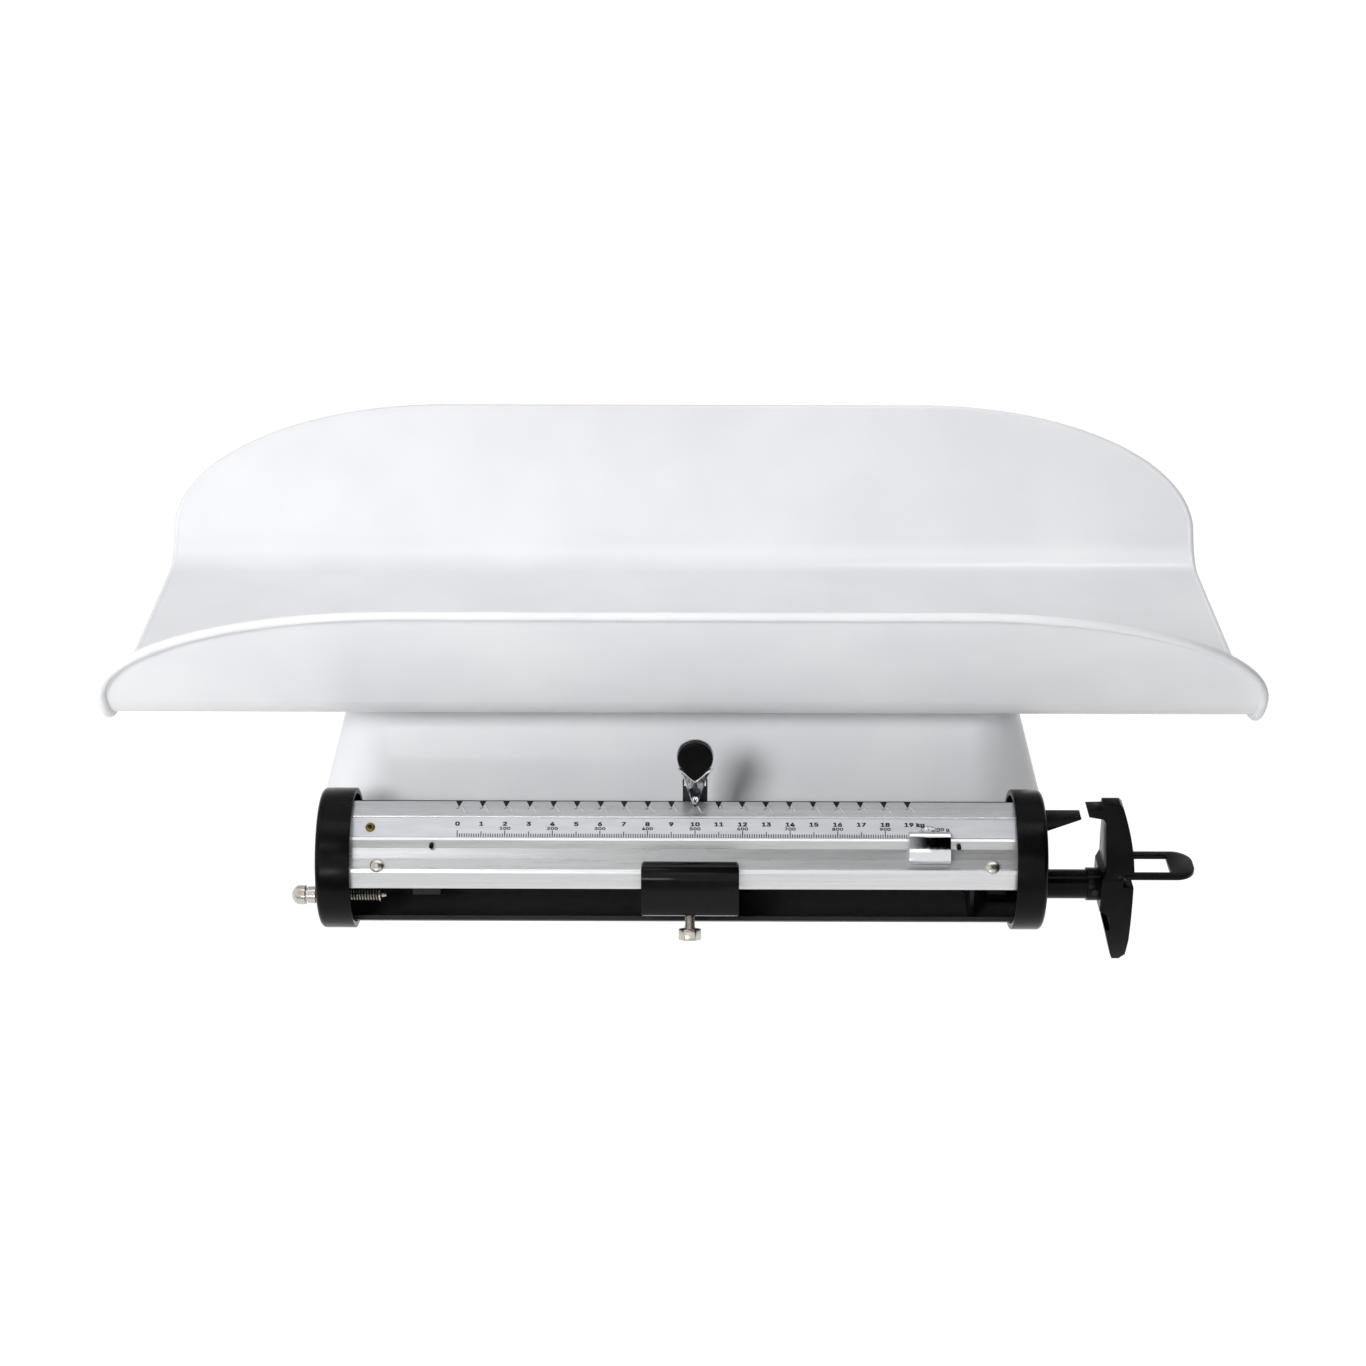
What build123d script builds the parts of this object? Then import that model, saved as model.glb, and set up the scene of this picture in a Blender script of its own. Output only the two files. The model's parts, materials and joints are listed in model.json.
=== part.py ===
from build123d import *
from math import atan2, cos, hypot, radians, sin, sqrt, tan
import os

os.makedirs("parts", exist_ok=True)

# A mechanical baby scale: a trough pan on a pressed base, weighed by a tubular beam in front.
# Millimetres. X runs to the right, Y to the back, Z up from the table.

# Clearances and one overrun for cuts
running_fit = 0.05
sliding_gap = 0.3
seat_gap = 0.1
overrun = 2.0

# Pan, measured to the middle of its sheet
pan_length = 550.0
pan_rim_depth = 267.6
pan_wall_height = 73.2
pan_wall_run = 39.0
pan_bend_radius = 25.0
pan_corner_length = 144.0
pan_corner_drop = 58.0
pan_sheet = 1.2
pan_bead = 4.4
pan_floor_height = 115.0

# Beam, whose axis lies in front of the pan's middle
beam_distance = 120.0
beam_axis_height = 54.0
cap_outer_radius = 33.3
cap_ring_wall = 2.9
left_cap_depth = 16.2
right_cap_depth = 14.5
cap_end_wall = 2.2
cap_span = 341.6
shell_radius = 30.0
shell_wall = 2.0
swing_degrees = 1.0

# Scale of twenty notches, one for each kilogram
notch_count = 20
notch_pitch = 11.12
notch_width = 3.2
notch_depth = 4.0
rest_count = 10
scale_shift = 0.7

# Thumb screw of the tare poise, whose leaning head is the foremost place
tare_screw_y = -30.5
tare_screw_z = -11.5
tare_screw_lean_degrees = 25.0
tare_screw_head = 5.5
tare_screw_head_start = 7.7
tare_screw_head_height = 5.5
tare_screw_end = tare_screw_head_start + tare_screw_head_height

# The origin is on the table, under the middle of the whole object
wall_lean = atan2(pan_wall_run, pan_wall_height)
bead_stand = 0.2
bead_shift = (pan_bead - pan_sheet) / 2 - bead_stand
pan_outer_depth = pan_rim_depth + 2 * bead_shift * cos(wall_lean) + pan_bead
tare_lean = radians(tare_screw_lean_degrees)
tare_front_reach = tare_screw_end * sin(tare_lean) + tare_screw_head * cos(tare_lean) - tare_screw_y
pan_middle_y = (beam_distance + tare_front_reach - pan_outer_depth / 2) / 2
beam_y = pan_middle_y - beam_distance
beam_z = beam_axis_height
cap_outer_x = cap_span / 2
tube_end_x = cap_outer_x - cap_end_wall
cap_inner_radius = cap_outer_radius - cap_ring_wall
shell_inner_radius = shell_radius - shell_wall
scale_half = notch_pitch * (notch_count - 1) / 2
first_notch_x = scale_shift - scale_half
kg_x = first_notch_x + rest_count * notch_pitch

# Base
foot_height = 6.0
base_half_length = 182.0
base_half_depth = 78.0
skirt_top_height = 40.0
base_top_height = 104.0
base_lean_degrees = 15.6
base_corner_radius = 40.0
base_edge_radius = 12.0
base_sheet = 1.2
base_front_y = pan_middle_y - base_half_depth

# Levers under the pan
pivot_x = 128.0
load_arm = 60.0
lever_thickness = 6.0
long_lever_height = 23.0
short_lever_height = 40.0
knife_height = 7.0
knife_half_width = 3.0

# The beam's two knives
fulcrum_x = -121.0
load_arm_of_beam = 26.0
knife_drop = 4.0
load_knife_x = fulcrum_x - load_arm_of_beam
fulcrum_z = beam_z - knife_drop
groove_half_degrees = 50.0


def write(piece, name):
    piece.part.label = name
    export_step(piece.part, "parts/" + name + ".step")


def across_beam(x):
    # The beam's section plane, its own X to the back and its own Y up
    return Plane(origin=(x, beam_y, beam_z), x_dir=(0, 1, 0), z_dir=(1, 0, 0))


def across_pan(x):
    return Plane(origin=(x, pan_middle_y, pan_floor_height), x_dir=(0, 1, 0), z_dir=(1, 0, 0))


def facing_front(y, z=0.0):
    # An upright plane seen from the front, its own X to the right and its own Y up
    return Plane(origin=(0, y, z), x_dir=(1, 0, 0), z_dir=(0, -1, 0))


# Pan: a trough bent from one sheet, cut to a curved outline and rolled at its whole edge
wall_turn = radians(90) - wall_lean
pan_edge_x = (pan_length - pan_bead) / 2
quarter_turn_degrees = 90.0


def trough_points(shift):
    # Half the trough's section, moved outwards by a shift: rim, end of the bend and start of the bend
    radius = pan_bend_radius + shift
    bend_back = pan_bend_radius * tan(wall_turn / 2)
    start_y = pan_rim_depth / 2 - pan_wall_run - bend_back
    end_y = start_y + radius * sin(wall_turn)
    end_z = pan_bend_radius - radius * cos(wall_turn)
    rim_y = pan_rim_depth / 2 + shift * cos(wall_lean)
    rim_z = pan_wall_height - shift * sin(wall_lean)
    middle_y = start_y + radius * sin(wall_turn / 2)
    middle_z = pan_bend_radius - radius * cos(wall_turn / 2)
    return (rim_y, rim_z), (end_y, end_z), (middle_y, middle_z), (start_y, -shift)


stud_radius = 2.5
stud_length = 8.0
stud_spread_x = 35.0
stud_spread_y = 40.0
pan_underside = pan_floor_height - pan_sheet / 2


def trough_side(shift):
    # One unbroken line along the trough's section, from the front rim to the back rim
    rim, bend_end, bend_middle, bend_start = trough_points(shift)
    Line((-rim[0], rim[1]), (-bend_end[0], bend_end[1]))
    ThreePointArc(
        (-bend_end[0], bend_end[1]), (-bend_middle[0], bend_middle[1]), (-bend_start[0], bend_start[1])
    )
    Line((-bend_start[0], bend_start[1]), bend_start)
    ThreePointArc(bend_start, bend_middle, bend_end)
    Line(bend_end, rim)
    return rim


# The rolled edge follows a path that leans with the wall, so a quarter of it is made edge by edge
def pan_point(x, y, z):
    return Vector(x, pan_middle_y + y, pan_floor_height + z)


rim, bend_end, bend_middle, bend_start = trough_points(bead_shift)
corner_slant = pan_corner_drop / cos(wall_lean)
corner_x = pan_edge_x - pan_corner_length
corner_low_y = rim[0] - corner_slant * sin(wall_lean)
corner_low_z = rim[1] - pan_corner_drop
wall_plane = Plane(
    origin=pan_point(corner_x, corner_low_y, corner_low_z),
    x_dir=(1, 0, 0),
    z_dir=(0, -cos(wall_lean), sin(wall_lean)),
)
bead_quarter = Wire(
    [
        Edge.make_line(pan_point(0, rim[0], rim[1]), pan_point(corner_x, rim[0], rim[1])),
        Edge.make_ellipse(
            pan_corner_length,
            corner_slant,
            wall_plane,
            0,
            quarter_turn_degrees,
            AngularDirection.COUNTER_CLOCKWISE,
        ),
        Edge.make_line(pan_point(pan_edge_x, corner_low_y, corner_low_z), pan_point(pan_edge_x, *bend_end)),
        Edge.make_three_point_arc(
            pan_point(pan_edge_x, *bend_end),
            pan_point(pan_edge_x, *bend_middle),
            pan_point(pan_edge_x, *bend_start),
        ),
        Edge.make_line(pan_point(pan_edge_x, *bend_start), pan_point(pan_edge_x, 0, bend_start[1])),
    ]
)

with BuildPart() as pan_edge:
    with BuildSketch(Plane(origin=pan_point(0, rim[0], rim[1]), x_dir=(0, 1, 0), z_dir=(1, 0, 0))):
        Circle(pan_bead / 2)
    sweep(path=bead_quarter)
    mirror(about=Plane.YZ)
    mirror(about=Plane.XZ.offset(-pan_middle_y))

with BuildPart() as pan:
    with BuildSketch(across_pan(-pan_edge_x)):
        with BuildLine():
            outer_rim = trough_side(pan_sheet / 2)
            inner_rim = trough_side(-pan_sheet / 2)
            Line(outer_rim, inner_rim)
            Line((-outer_rim[0], outer_rim[1]), (-inner_rim[0], inner_rim[1]))
        make_face()
    extrude(amount=2 * pan_edge_x)
    with BuildSketch(facing_front(pan_middle_y, pan_floor_height)):
        with BuildLine():
            low = -pan_bead
            drop_z = pan_wall_height - pan_corner_drop
            straight_x = pan_edge_x - pan_corner_length
            Polyline((-pan_edge_x, drop_z), (-pan_edge_x, low), (pan_edge_x, low), (pan_edge_x, drop_z))
            EllipticalCenterArc(
                (straight_x, drop_z), pan_corner_length, pan_corner_drop, arc_size=quarter_turn_degrees
            )
            Line((straight_x, pan_wall_height), (-straight_x, pan_wall_height))
            EllipticalCenterArc(
                (-straight_x, drop_z),
                pan_corner_length,
                pan_corner_drop,
                quarter_turn_degrees,
                arc_size=quarter_turn_degrees,
            )
        make_face()
    extrude(amount=pan_outer_depth, both=True, mode=Mode.INTERSECT)
    add(pan_edge.part)
    with BuildSketch(Plane((0, pan_middle_y, pan_floor_height))):
        with GridLocations(2 * stud_spread_x, 2 * stud_spread_y, 2, 2):
            Circle(stud_radius)
    extrude(amount=-stud_length)
write(pan, "pan")

# Platform: an H-shaped frame under the pan, with four posts down to the levers
frame_thickness = 4.0
frame_bar_width = 22.0
frame_top = pan_underside
frame_bottom = frame_top - frame_thickness
post_y = 44.0
post_x = pivot_x - load_arm
post_radius = 6.0
bearing_height = 4.0
bearing_half_length = 5.0
bearing_half_width = 5.0
groove_depth = 3.0


def at_pan(height):
    return Plane((0, pan_middle_y, height))


with BuildPart() as platform_frame:
    with BuildSketch(at_pan(frame_bottom)):
        with Locations((post_x, 0), (-post_x, 0)):
            RectangleRounded(frame_bar_width, 2 * post_y + frame_bar_width, frame_bar_width / 3)
        with Locations((0, stud_spread_y), (0, -stud_spread_y)):
            Rectangle(2 * post_x, frame_bar_width)
        with GridLocations(2 * stud_spread_x, 2 * stud_spread_y, 2, 2):
            Circle(stud_radius + seat_gap, mode=Mode.SUBTRACT)
    extrude(amount=frame_thickness)
    for side, lever_height in ((1, long_lever_height), (-1, short_lever_height)):
        post_bottom = lever_height + knife_height / 2 + sliding_gap + bearing_height - groove_depth
        with BuildSketch(at_pan(post_bottom)):
            with Locations((side * post_x, post_y), (side * post_x, -post_y)):
                Circle(post_radius)
        extrude(until=Until.NEXT)
write(platform_frame, "platform_frame")

nut_radius = 5.0
nut_height = 3.0
with BuildPart() as pan_nuts:
    with BuildSketch(at_pan(frame_bottom)):
        with GridLocations(2 * stud_spread_x, 2 * stud_spread_y, 2, 2):
            RegularPolygon(nut_radius, 6)
            Circle(stud_radius + seat_gap, mode=Mode.SUBTRACT)
    extrude(amount=-nut_height)
write(pan_nuts, "pan_nuts")


def grooved_block(plane, half_width, height, length, depth):
    # A bearing whose groove opens along the plane's own Y, made in the part that is being built
    half_groove = depth * tan(radians(groove_half_degrees))
    with BuildSketch(plane) as block_end:
        Polygon(
            (-half_width, 0),
            (half_width, 0),
            (half_width, height),
            (half_groove, height),
            (0, height - depth),
            (-half_groove, height),
            (-half_width, height),
            align=None,
        )
    extrude(block_end.sketch, amount=length / 2, both=True)


def hanging(x, y, z):
    # An upright plane turned upside down, for a groove that opens to below
    return Plane(origin=(x, y, z), x_dir=(1, 0, 0), z_dir=(0, 1, 0))


with BuildPart() as platform_bearings:
    for side, lever_height in ((1, long_lever_height), (-1, short_lever_height)):
        post_bottom = lever_height + knife_height / 2 + sliding_gap + bearing_height - groove_depth
        for y in (post_y, -post_y):
            grooved_block(
                hanging(side * post_x, pan_middle_y + y, post_bottom),
                bearing_half_width,
                bearing_height,
                2 * bearing_half_length,
                groove_depth,
            )
write(platform_bearings, "platform_bearings")

# Base: a pressed housing, open below, with holes for the posts and a slot for the long lever's nose
post_clearance = 3.0
nose_slot_width = 20.0
nose_slot_height = 22.0
bracket_screw_radius = 2.0
bracket_screw_z = -24.0
fulcrum_screw_spread = 8.0
bar_screw_x = 135.0
bar_screw_spread = 4.0
bracket_screw_places = [
    (fulcrum_x - fulcrum_screw_spread, bracket_screw_z),
    (fulcrum_x + fulcrum_screw_spread, bracket_screw_z),
    (bar_screw_x - bar_screw_spread, bracket_screw_z),
    (bar_screw_x + bar_screw_spread, bracket_screw_z),
]


def housing_form(inset):
    half_length = base_half_length - inset
    half_depth = base_half_depth - inset
    radius = base_corner_radius - inset
    with BuildSketch(at_pan(foot_height)) as skirt:
        RectangleRounded(2 * half_length, 2 * half_depth, radius)
    extrude(skirt.sketch, amount=skirt_top_height - foot_height)
    with BuildSketch(at_pan(skirt_top_height)) as shoulder:
        RectangleRounded(2 * half_length, 2 * half_depth, radius)
    extrude(shoulder.sketch, amount=base_top_height - inset - skirt_top_height, taper=base_lean_degrees)
    fillet(faces().sort_by(Axis.Z)[-1].edges(), base_edge_radius - inset)


with BuildPart() as housing_hollow:
    housing_form(base_sheet)

with BuildPart() as base_housing:
    housing_form(0.0)
    add(housing_hollow.part, mode=Mode.SUBTRACT)
    with BuildSketch(at_pan(base_top_height - base_edge_radius)):
        with GridLocations(2 * post_x, 2 * post_y, 2, 2):
            Circle(post_radius + post_clearance)
    extrude(amount=2 * base_edge_radius, mode=Mode.SUBTRACT)
    with BuildSketch(facing_front(base_front_y, long_lever_height)):
        with Locations((load_knife_x, 0)):
            Rectangle(nose_slot_width, nose_slot_height)
    extrude(amount=4 * base_sheet, both=True, mode=Mode.SUBTRACT)
    with BuildSketch(facing_front(base_front_y, beam_z)):
        with Locations(*bracket_screw_places):
            Circle(bracket_screw_radius + seat_gap)
    extrude(amount=4 * base_sheet, both=True, mode=Mode.SUBTRACT)
write(base_housing, "base_housing")

plate_thickness = 2.0
plate_top = foot_height + plate_thickness
foot_radius = 11.0
foot_inset_x = 32.0
foot_inset_y = 28.0
foot_x = base_half_length - foot_inset_x
foot_y = base_half_depth - foot_inset_y
screw_hole_radius = 2.1
with BuildPart() as base_plate:
    with BuildSketch(at_pan(foot_height)):
        plate_inset = base_sheet + seat_gap
        RectangleRounded(
            2 * (base_half_length - plate_inset),
            2 * (base_half_depth - plate_inset),
            base_corner_radius - plate_inset,
        )
        with GridLocations(2 * foot_x, 2 * foot_y, 2, 2):
            Circle(screw_hole_radius, mode=Mode.SUBTRACT)
    extrude(amount=plate_thickness)
write(base_plate, "base_plate")

foot_recess = 4.0
foot_recess_radius = 5.0
foot_edge = 1.5
with BuildPart() as rubber_feet:
    with BuildSketch(at_pan(0.0)):
        with GridLocations(2 * foot_x, 2 * foot_y, 2, 2):
            Circle(foot_radius)
    extrude(amount=foot_height)
    fillet(edges().filter_by(GeomType.CIRCLE).group_by(Axis.Z)[0], foot_edge)
    with BuildSketch(at_pan(0.0)):
        with GridLocations(2 * foot_x, 2 * foot_y, 2, 2):
            Circle(foot_recess_radius)
    extrude(amount=foot_recess, mode=Mode.SUBTRACT)
    with BuildSketch(at_pan(0.0)):
        with GridLocations(2 * foot_x, 2 * foot_y, 2, 2):
            Circle(screw_hole_radius)
    extrude(amount=foot_height, mode=Mode.SUBTRACT)
write(rubber_feet, "rubber_feet")

screw_head_radius = 4.0
screw_head_height = 2.5
screw_radius = 2.0
with BuildPart() as feet_screws:
    with BuildSketch(at_pan(foot_recess)):
        with GridLocations(2 * foot_x, 2 * foot_y, 2, 2):
            Circle(screw_head_radius)
    extrude(amount=-screw_head_height)
    with BuildSketch(at_pan(foot_recess)):
        with GridLocations(2 * foot_x, 2 * foot_y, 2, 2):
            Circle(screw_radius)
    extrude(amount=plate_top - foot_recess + screw_head_height)
write(feet_screws, "feet_screws")

# Lever stands: four posts with a groove, two for each lever
stand_y = 64.0
stand_half_width = 7.0
stand_thickness = 8.0
with BuildPart() as lever_stands:
    for side, lever_height in ((1, long_lever_height), (-1, short_lever_height)):
        edge_height = lever_height - knife_height / 2
        for y in (stand_y, -stand_y):
            grooved_block(
                facing_front(pan_middle_y + y, plate_top).shift_origin(
                    (side * pivot_x, pan_middle_y + y, plate_top)
                ),
                stand_half_width,
                edge_height - sliding_gap + groove_depth - plate_top,
                stand_thickness,
                groove_depth,
            )
write(lever_stands, "lever_stands")

# Levers: each a fork with two arms, a crossbar and a trunk, and knives in the arms
arm_y = 54.0
arm_width = 7.0
arm_overhang = 8.0
crossbar_setback = 16.0
trunk_width = 14.0
trunk_y = 20.0
nose_width = 8.0
nose_overhang = 2.0
link_gap = 3.0
link_thickness = 3.0
link_y = beam_y + shell_radius + link_gap
crossbar_x = post_x - crossbar_setback
pivot_knife_length = 11.0
load_knife_length = 12.0


def bar(x0, y0, x1, y1, mode=Mode.ADD):
    # A rectangle of the sketch between two corners
    with Locations(((x0 + x1) / 2, (y0 + y1) / 2)):
        Rectangle(abs(x1 - x0), abs(y1 - y0), mode=mode)


def fork(side):
    # The arms and the crossbar, which are alike on both levers
    for y in (arm_y, -arm_y):
        bar(side * crossbar_x, y - arm_width / 2, side * (pivot_x + arm_overhang), y + arm_width / 2)
    bar(side * crossbar_x, -arm_y, side * (crossbar_x + arm_width), arm_y)


with BuildPart() as long_lever:
    with BuildSketch(at_pan(long_lever_height - lever_thickness / 2)):
        fork(1)
        bar(load_knife_x, -trunk_y - trunk_width / 2, crossbar_x + arm_width, -trunk_y + trunk_width / 2)
        nose_end = link_y - pan_middle_y - nose_overhang
        bar(load_knife_x - nose_width / 2, nose_end, load_knife_x + nose_width / 2, -trunk_y)
    extrude(amount=lever_thickness)
    fillet(edges().filter_by(Axis.Z), nose_overhang / 2)
write(long_lever, "long_lever")

with BuildPart() as short_lever:
    with BuildSketch(at_pan(short_lever_height - lever_thickness / 2)):
        fork(-1)
        bar(-crossbar_x - arm_width, trunk_y - trunk_width / 2, trunk_width / 2, trunk_y + trunk_width / 2)
    extrude(amount=lever_thickness)
    fillet(edges().filter_by(Axis.Z), nose_overhang / 2)
write(short_lever, "short_lever")


def knife(x, y, z, length, point):
    # A knife along Y with its edge at z, pointing up or down
    with BuildSketch(Plane(origin=(x, y, z), x_dir=(1, 0, 0), z_dir=(0, -1, 0))) as knife_end:
        Polygon(
            (0, 0),
            (knife_half_width, -point * knife_height),
            (-knife_half_width, -point * knife_height),
            align=None,
        )
    extrude(knife_end.sketch, amount=length / 2, both=True)


def lever_knives(side, height):
    for y in (1, -1):
        outer_y = pan_middle_y + y * (arm_y + arm_width / 2 + pivot_knife_length / 2)
        knife(side * pivot_x, outer_y, height - knife_height / 2, pivot_knife_length, -1)
        inner_y = pan_middle_y + y * (arm_y - arm_width / 2 - load_knife_length / 2)
        knife(side * post_x, inner_y, height + knife_height / 2, load_knife_length, 1)


with BuildPart() as long_lever_knives:
    lever_knives(1, long_lever_height)
write(long_lever_knives, "long_lever_knives")

strut_reach = 6.0
with BuildPart() as short_lever_knives:
    lever_knives(-1, short_lever_height)
    strut_knife_length = 2 * trunk_y - trunk_width / 2 + strut_reach
    strut_knife_y = pan_middle_y + trunk_y - trunk_width / 2 - strut_knife_length / 2
    knife(0, strut_knife_y, short_lever_height - knife_height / 2, strut_knife_length, -1)
write(short_lever_knives, "short_lever_knives")

with BuildPart() as lever_strut:
    grooved_block(
        Plane(
            origin=(0, pan_middle_y - trunk_y, long_lever_height + lever_thickness / 2),
            x_dir=(1, 0, 0),
            z_dir=(0, -1, 0),
        ),
        bearing_half_width,
        short_lever_height
        - knife_height / 2
        - sliding_gap
        + groove_depth
        - long_lever_height
        - lever_thickness / 2,
        2 * bearing_half_length,
        groove_depth,
    )
write(lever_strut, "lever_strut")

# Beam link: a strap that hangs on the beam's load knife and holds up the long lever's nose
link_half_width = 7.0
link_rim = 4.0
eye_side = 5.0
upper_eye_height = 5.0
with BuildPart() as beam_link:
    knife_edge = fulcrum_z
    nose_bottom = long_lever_height - lever_thickness / 2
    nose_top = long_lever_height + lever_thickness / 2
    with BuildSketch(Plane(origin=(load_knife_x, link_y, 0), x_dir=(1, 0, 0), z_dir=(0, -1, 0))):
        link_top = knife_edge + sliding_gap + link_rim
        link_bottom = nose_bottom - sliding_gap - link_rim
        with Locations((0, (link_top + link_bottom) / 2)):
            RectangleRounded(2 * link_half_width, link_top - link_bottom, link_rim / 2)
        Polygon(
            (0, knife_edge + sliding_gap),
            (-eye_side, knife_edge + sliding_gap - upper_eye_height),
            (-eye_side, knife_edge - knife_height - sliding_gap),
            (eye_side, knife_edge - knife_height - sliding_gap),
            (eye_side, knife_edge + sliding_gap - upper_eye_height),
            align=None,
            mode=Mode.SUBTRACT,
        )
        nose_gap_half = nose_width / 2 + sliding_gap
        bar(-nose_gap_half, nose_bottom - sliding_gap, nose_gap_half, nose_top + sliding_gap, Mode.SUBTRACT)
    extrude(amount=link_thickness / 2, both=True)
write(beam_link, "beam_link")

# Beam profile: a drawn section with a notched flange, a label face, a channel and a rib
# Places in the beam's section are shares of the shell's radius, to the back and up
flange_back_share = (0.017, 1.011)
profile_shares = [
    flange_back_share,
    (-0.310, 0.930),
    (-0.367, 0.923),
    (-0.607, 0.705),
    (-0.647, 0.681),
    (-0.667, 0.550),
    (-0.767, 0.423),
    (-0.880, 0.314),
    (-0.897, 0.334),
    (-0.933, 0.327),
    (-0.957, 0.270),
    (-0.953, -0.007),
    (-0.887, -0.007),
    (-0.887, 0.243),
    (-0.840, 0.280),
    (-0.720, 0.376),
    (-0.603, 0.523),
    (-0.583, 0.641),
    (-0.347, 0.853),
    (-0.287, 0.860),
    (0.037, 0.954),
]


def in_section(shares):
    return [(y * shell_radius, z * shell_radius) for y, z in shares]


flange_back = in_section([flange_back_share])[0]

screw_left_x = -142.0
screw_right_x = 145.0
profile_screw_radius = 1.6
profile_screw_head = 3.3
profile_screw_head_height = 1.4
profile_screw_length = 8.0
profile_screw_share = (-0.9, 0.367)
profile_screw_seat = in_section([profile_screw_share])[0]
profile_screw_lean = 48.0


def profile_screw_plane(x):
    # A plane on the rib, whose Z leans forwards and up
    lean = radians(profile_screw_lean)
    y, z = profile_screw_seat
    return Plane(origin=(x, beam_y + y, beam_z + z), x_dir=(1, 0, 0), z_dir=(0, -sin(lean), cos(lean)))


notch_rise = 1.5
with BuildPart() as scale_profile:
    with BuildSketch(across_beam(-tube_end_x)):
        Polygon(*in_section(profile_shares), align=None)
    extrude(amount=2 * tube_end_x)
    notch_back = flange_back[0] + notch_rise
    notch_front = flange_back[0] - notch_depth
    notch_half = notch_width / 2 * (notch_depth + notch_rise) / notch_depth
    with BuildSketch(Plane((0, beam_y, beam_z))):
        for notch in range(notch_count):
            with Locations((first_notch_x + notch * notch_pitch, 0)):
                Polygon((0, notch_front), (notch_half, notch_back), (-notch_half, notch_back), align=None)
    extrude(amount=shell_radius + overrun, mode=Mode.SUBTRACT)
    for x in (screw_left_x, screw_right_x):
        with BuildSketch(profile_screw_plane(x)) as screw_hole:
            Circle(profile_screw_radius + seat_gap)
        extrude(screw_hole.sketch, amount=-profile_screw_length, mode=Mode.SUBTRACT)
        extrude(screw_hole.sketch, amount=profile_screw_head_height, mode=Mode.SUBTRACT)
write(scale_profile, "scale_profile")

with BuildPart() as profile_screws:
    for x in (screw_left_x, screw_right_x):
        with BuildSketch(profile_screw_plane(x)) as screw_shank:
            Circle(profile_screw_radius)
        extrude(screw_shank.sketch, amount=-profile_screw_length)
        with BuildSketch(profile_screw_plane(x)) as screw_head:
            Circle(profile_screw_head)
        extrude(screw_head.sketch, amount=profile_screw_head_height)
    fillet(faces().sort_by(Axis.Z)[-2:].edges(), profile_screw_head_height / 2)
write(profile_screws, "profile_screws")

# Label: a thin printed strip on the inclined face
label_thickness = 0.3
label_length = 312.0
label_width_share = 0.94
face_top, face_bottom = in_section(profile_shares[2:4])
face_width = hypot(face_top[0] - face_bottom[0], face_top[1] - face_bottom[1])
label_width = label_width_share * face_width
label_normal = ((face_bottom[1] - face_top[1]) / face_width, (face_top[0] - face_bottom[0]) / face_width)


def on_label(x):
    # A plane at the label's middle, its own Y up the label's face
    return Plane(
        origin=(x, beam_y + (face_top[0] + face_bottom[0]) / 2, beam_z + (face_top[1] + face_bottom[1]) / 2),
        x_dir=(1, 0, 0),
        z_dir=(0, label_normal[0], label_normal[1]),
    )


rivet_inset = 10.3
rivet_x = rivet_inset - label_length / 2
rivet_radius = 2.2
rivet_height = 0.9
with BuildPart() as scale_label:
    with BuildSketch(on_label(0)):
        RectangleRounded(label_length, label_width, label_thickness)
        with Locations((rivet_x, 0)):
            Circle(rivet_radius + seat_gap, mode=Mode.SUBTRACT)
    extrude(amount=label_thickness)
write(scale_label, "scale_label")

with BuildPart() as label_rivet:
    with BuildSketch(on_label(rivet_x)):
        Circle(rivet_radius)
    extrude(amount=rivet_height)
    fillet(faces().sort_by(Axis.Z)[-1].edges(), rivet_height / 3)
write(label_rivet, "label_rivet")

# Stop pins that end the gram poise's travel
stop_left_x = -116.8
stop_right_x = 129.4
stop_radius = 1.1
stop_length = 2.4
stop_top, stop_seat = in_section(profile_shares[4:6])
with BuildPart() as stop_pins:
    with BuildSketch(facing_front(beam_y + stop_seat[0], beam_z + (stop_top[1] + stop_seat[1]) / 2)):
        with Locations((stop_left_x, 0), (stop_right_x, 0)):
            Circle(stop_radius)
    extrude(amount=stop_length)
    fillet(faces().sort_by(Axis.Y)[:2].edges(), stop_radius / 3)
write(stop_pins, "stop_pins")

# Lower shell: an open tube with windows at the back for the two fixed brackets and the load knife
shell_back_degrees = 28.0
shell_front_degrees = -132.0
bar_drop = 13.4
arm_thickness = 6.0
bearing_stand = 6.0
window_gap = 1.5
fulcrum_arm_half_width = 6.5
stand_eye_width = 9.0
eye_left_x = 145.5
eye_middle_x = eye_left_x + stand_eye_width / 2
fulcrum_arm_top = -knife_drop - sliding_gap + groove_depth - bearing_stand
eye_arm_half_height = 6.0
swing_at_eye = (eye_left_x + stand_eye_width - fulcrum_x) * sin(radians(swing_degrees))
knife_slot_gap = 0.1

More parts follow.
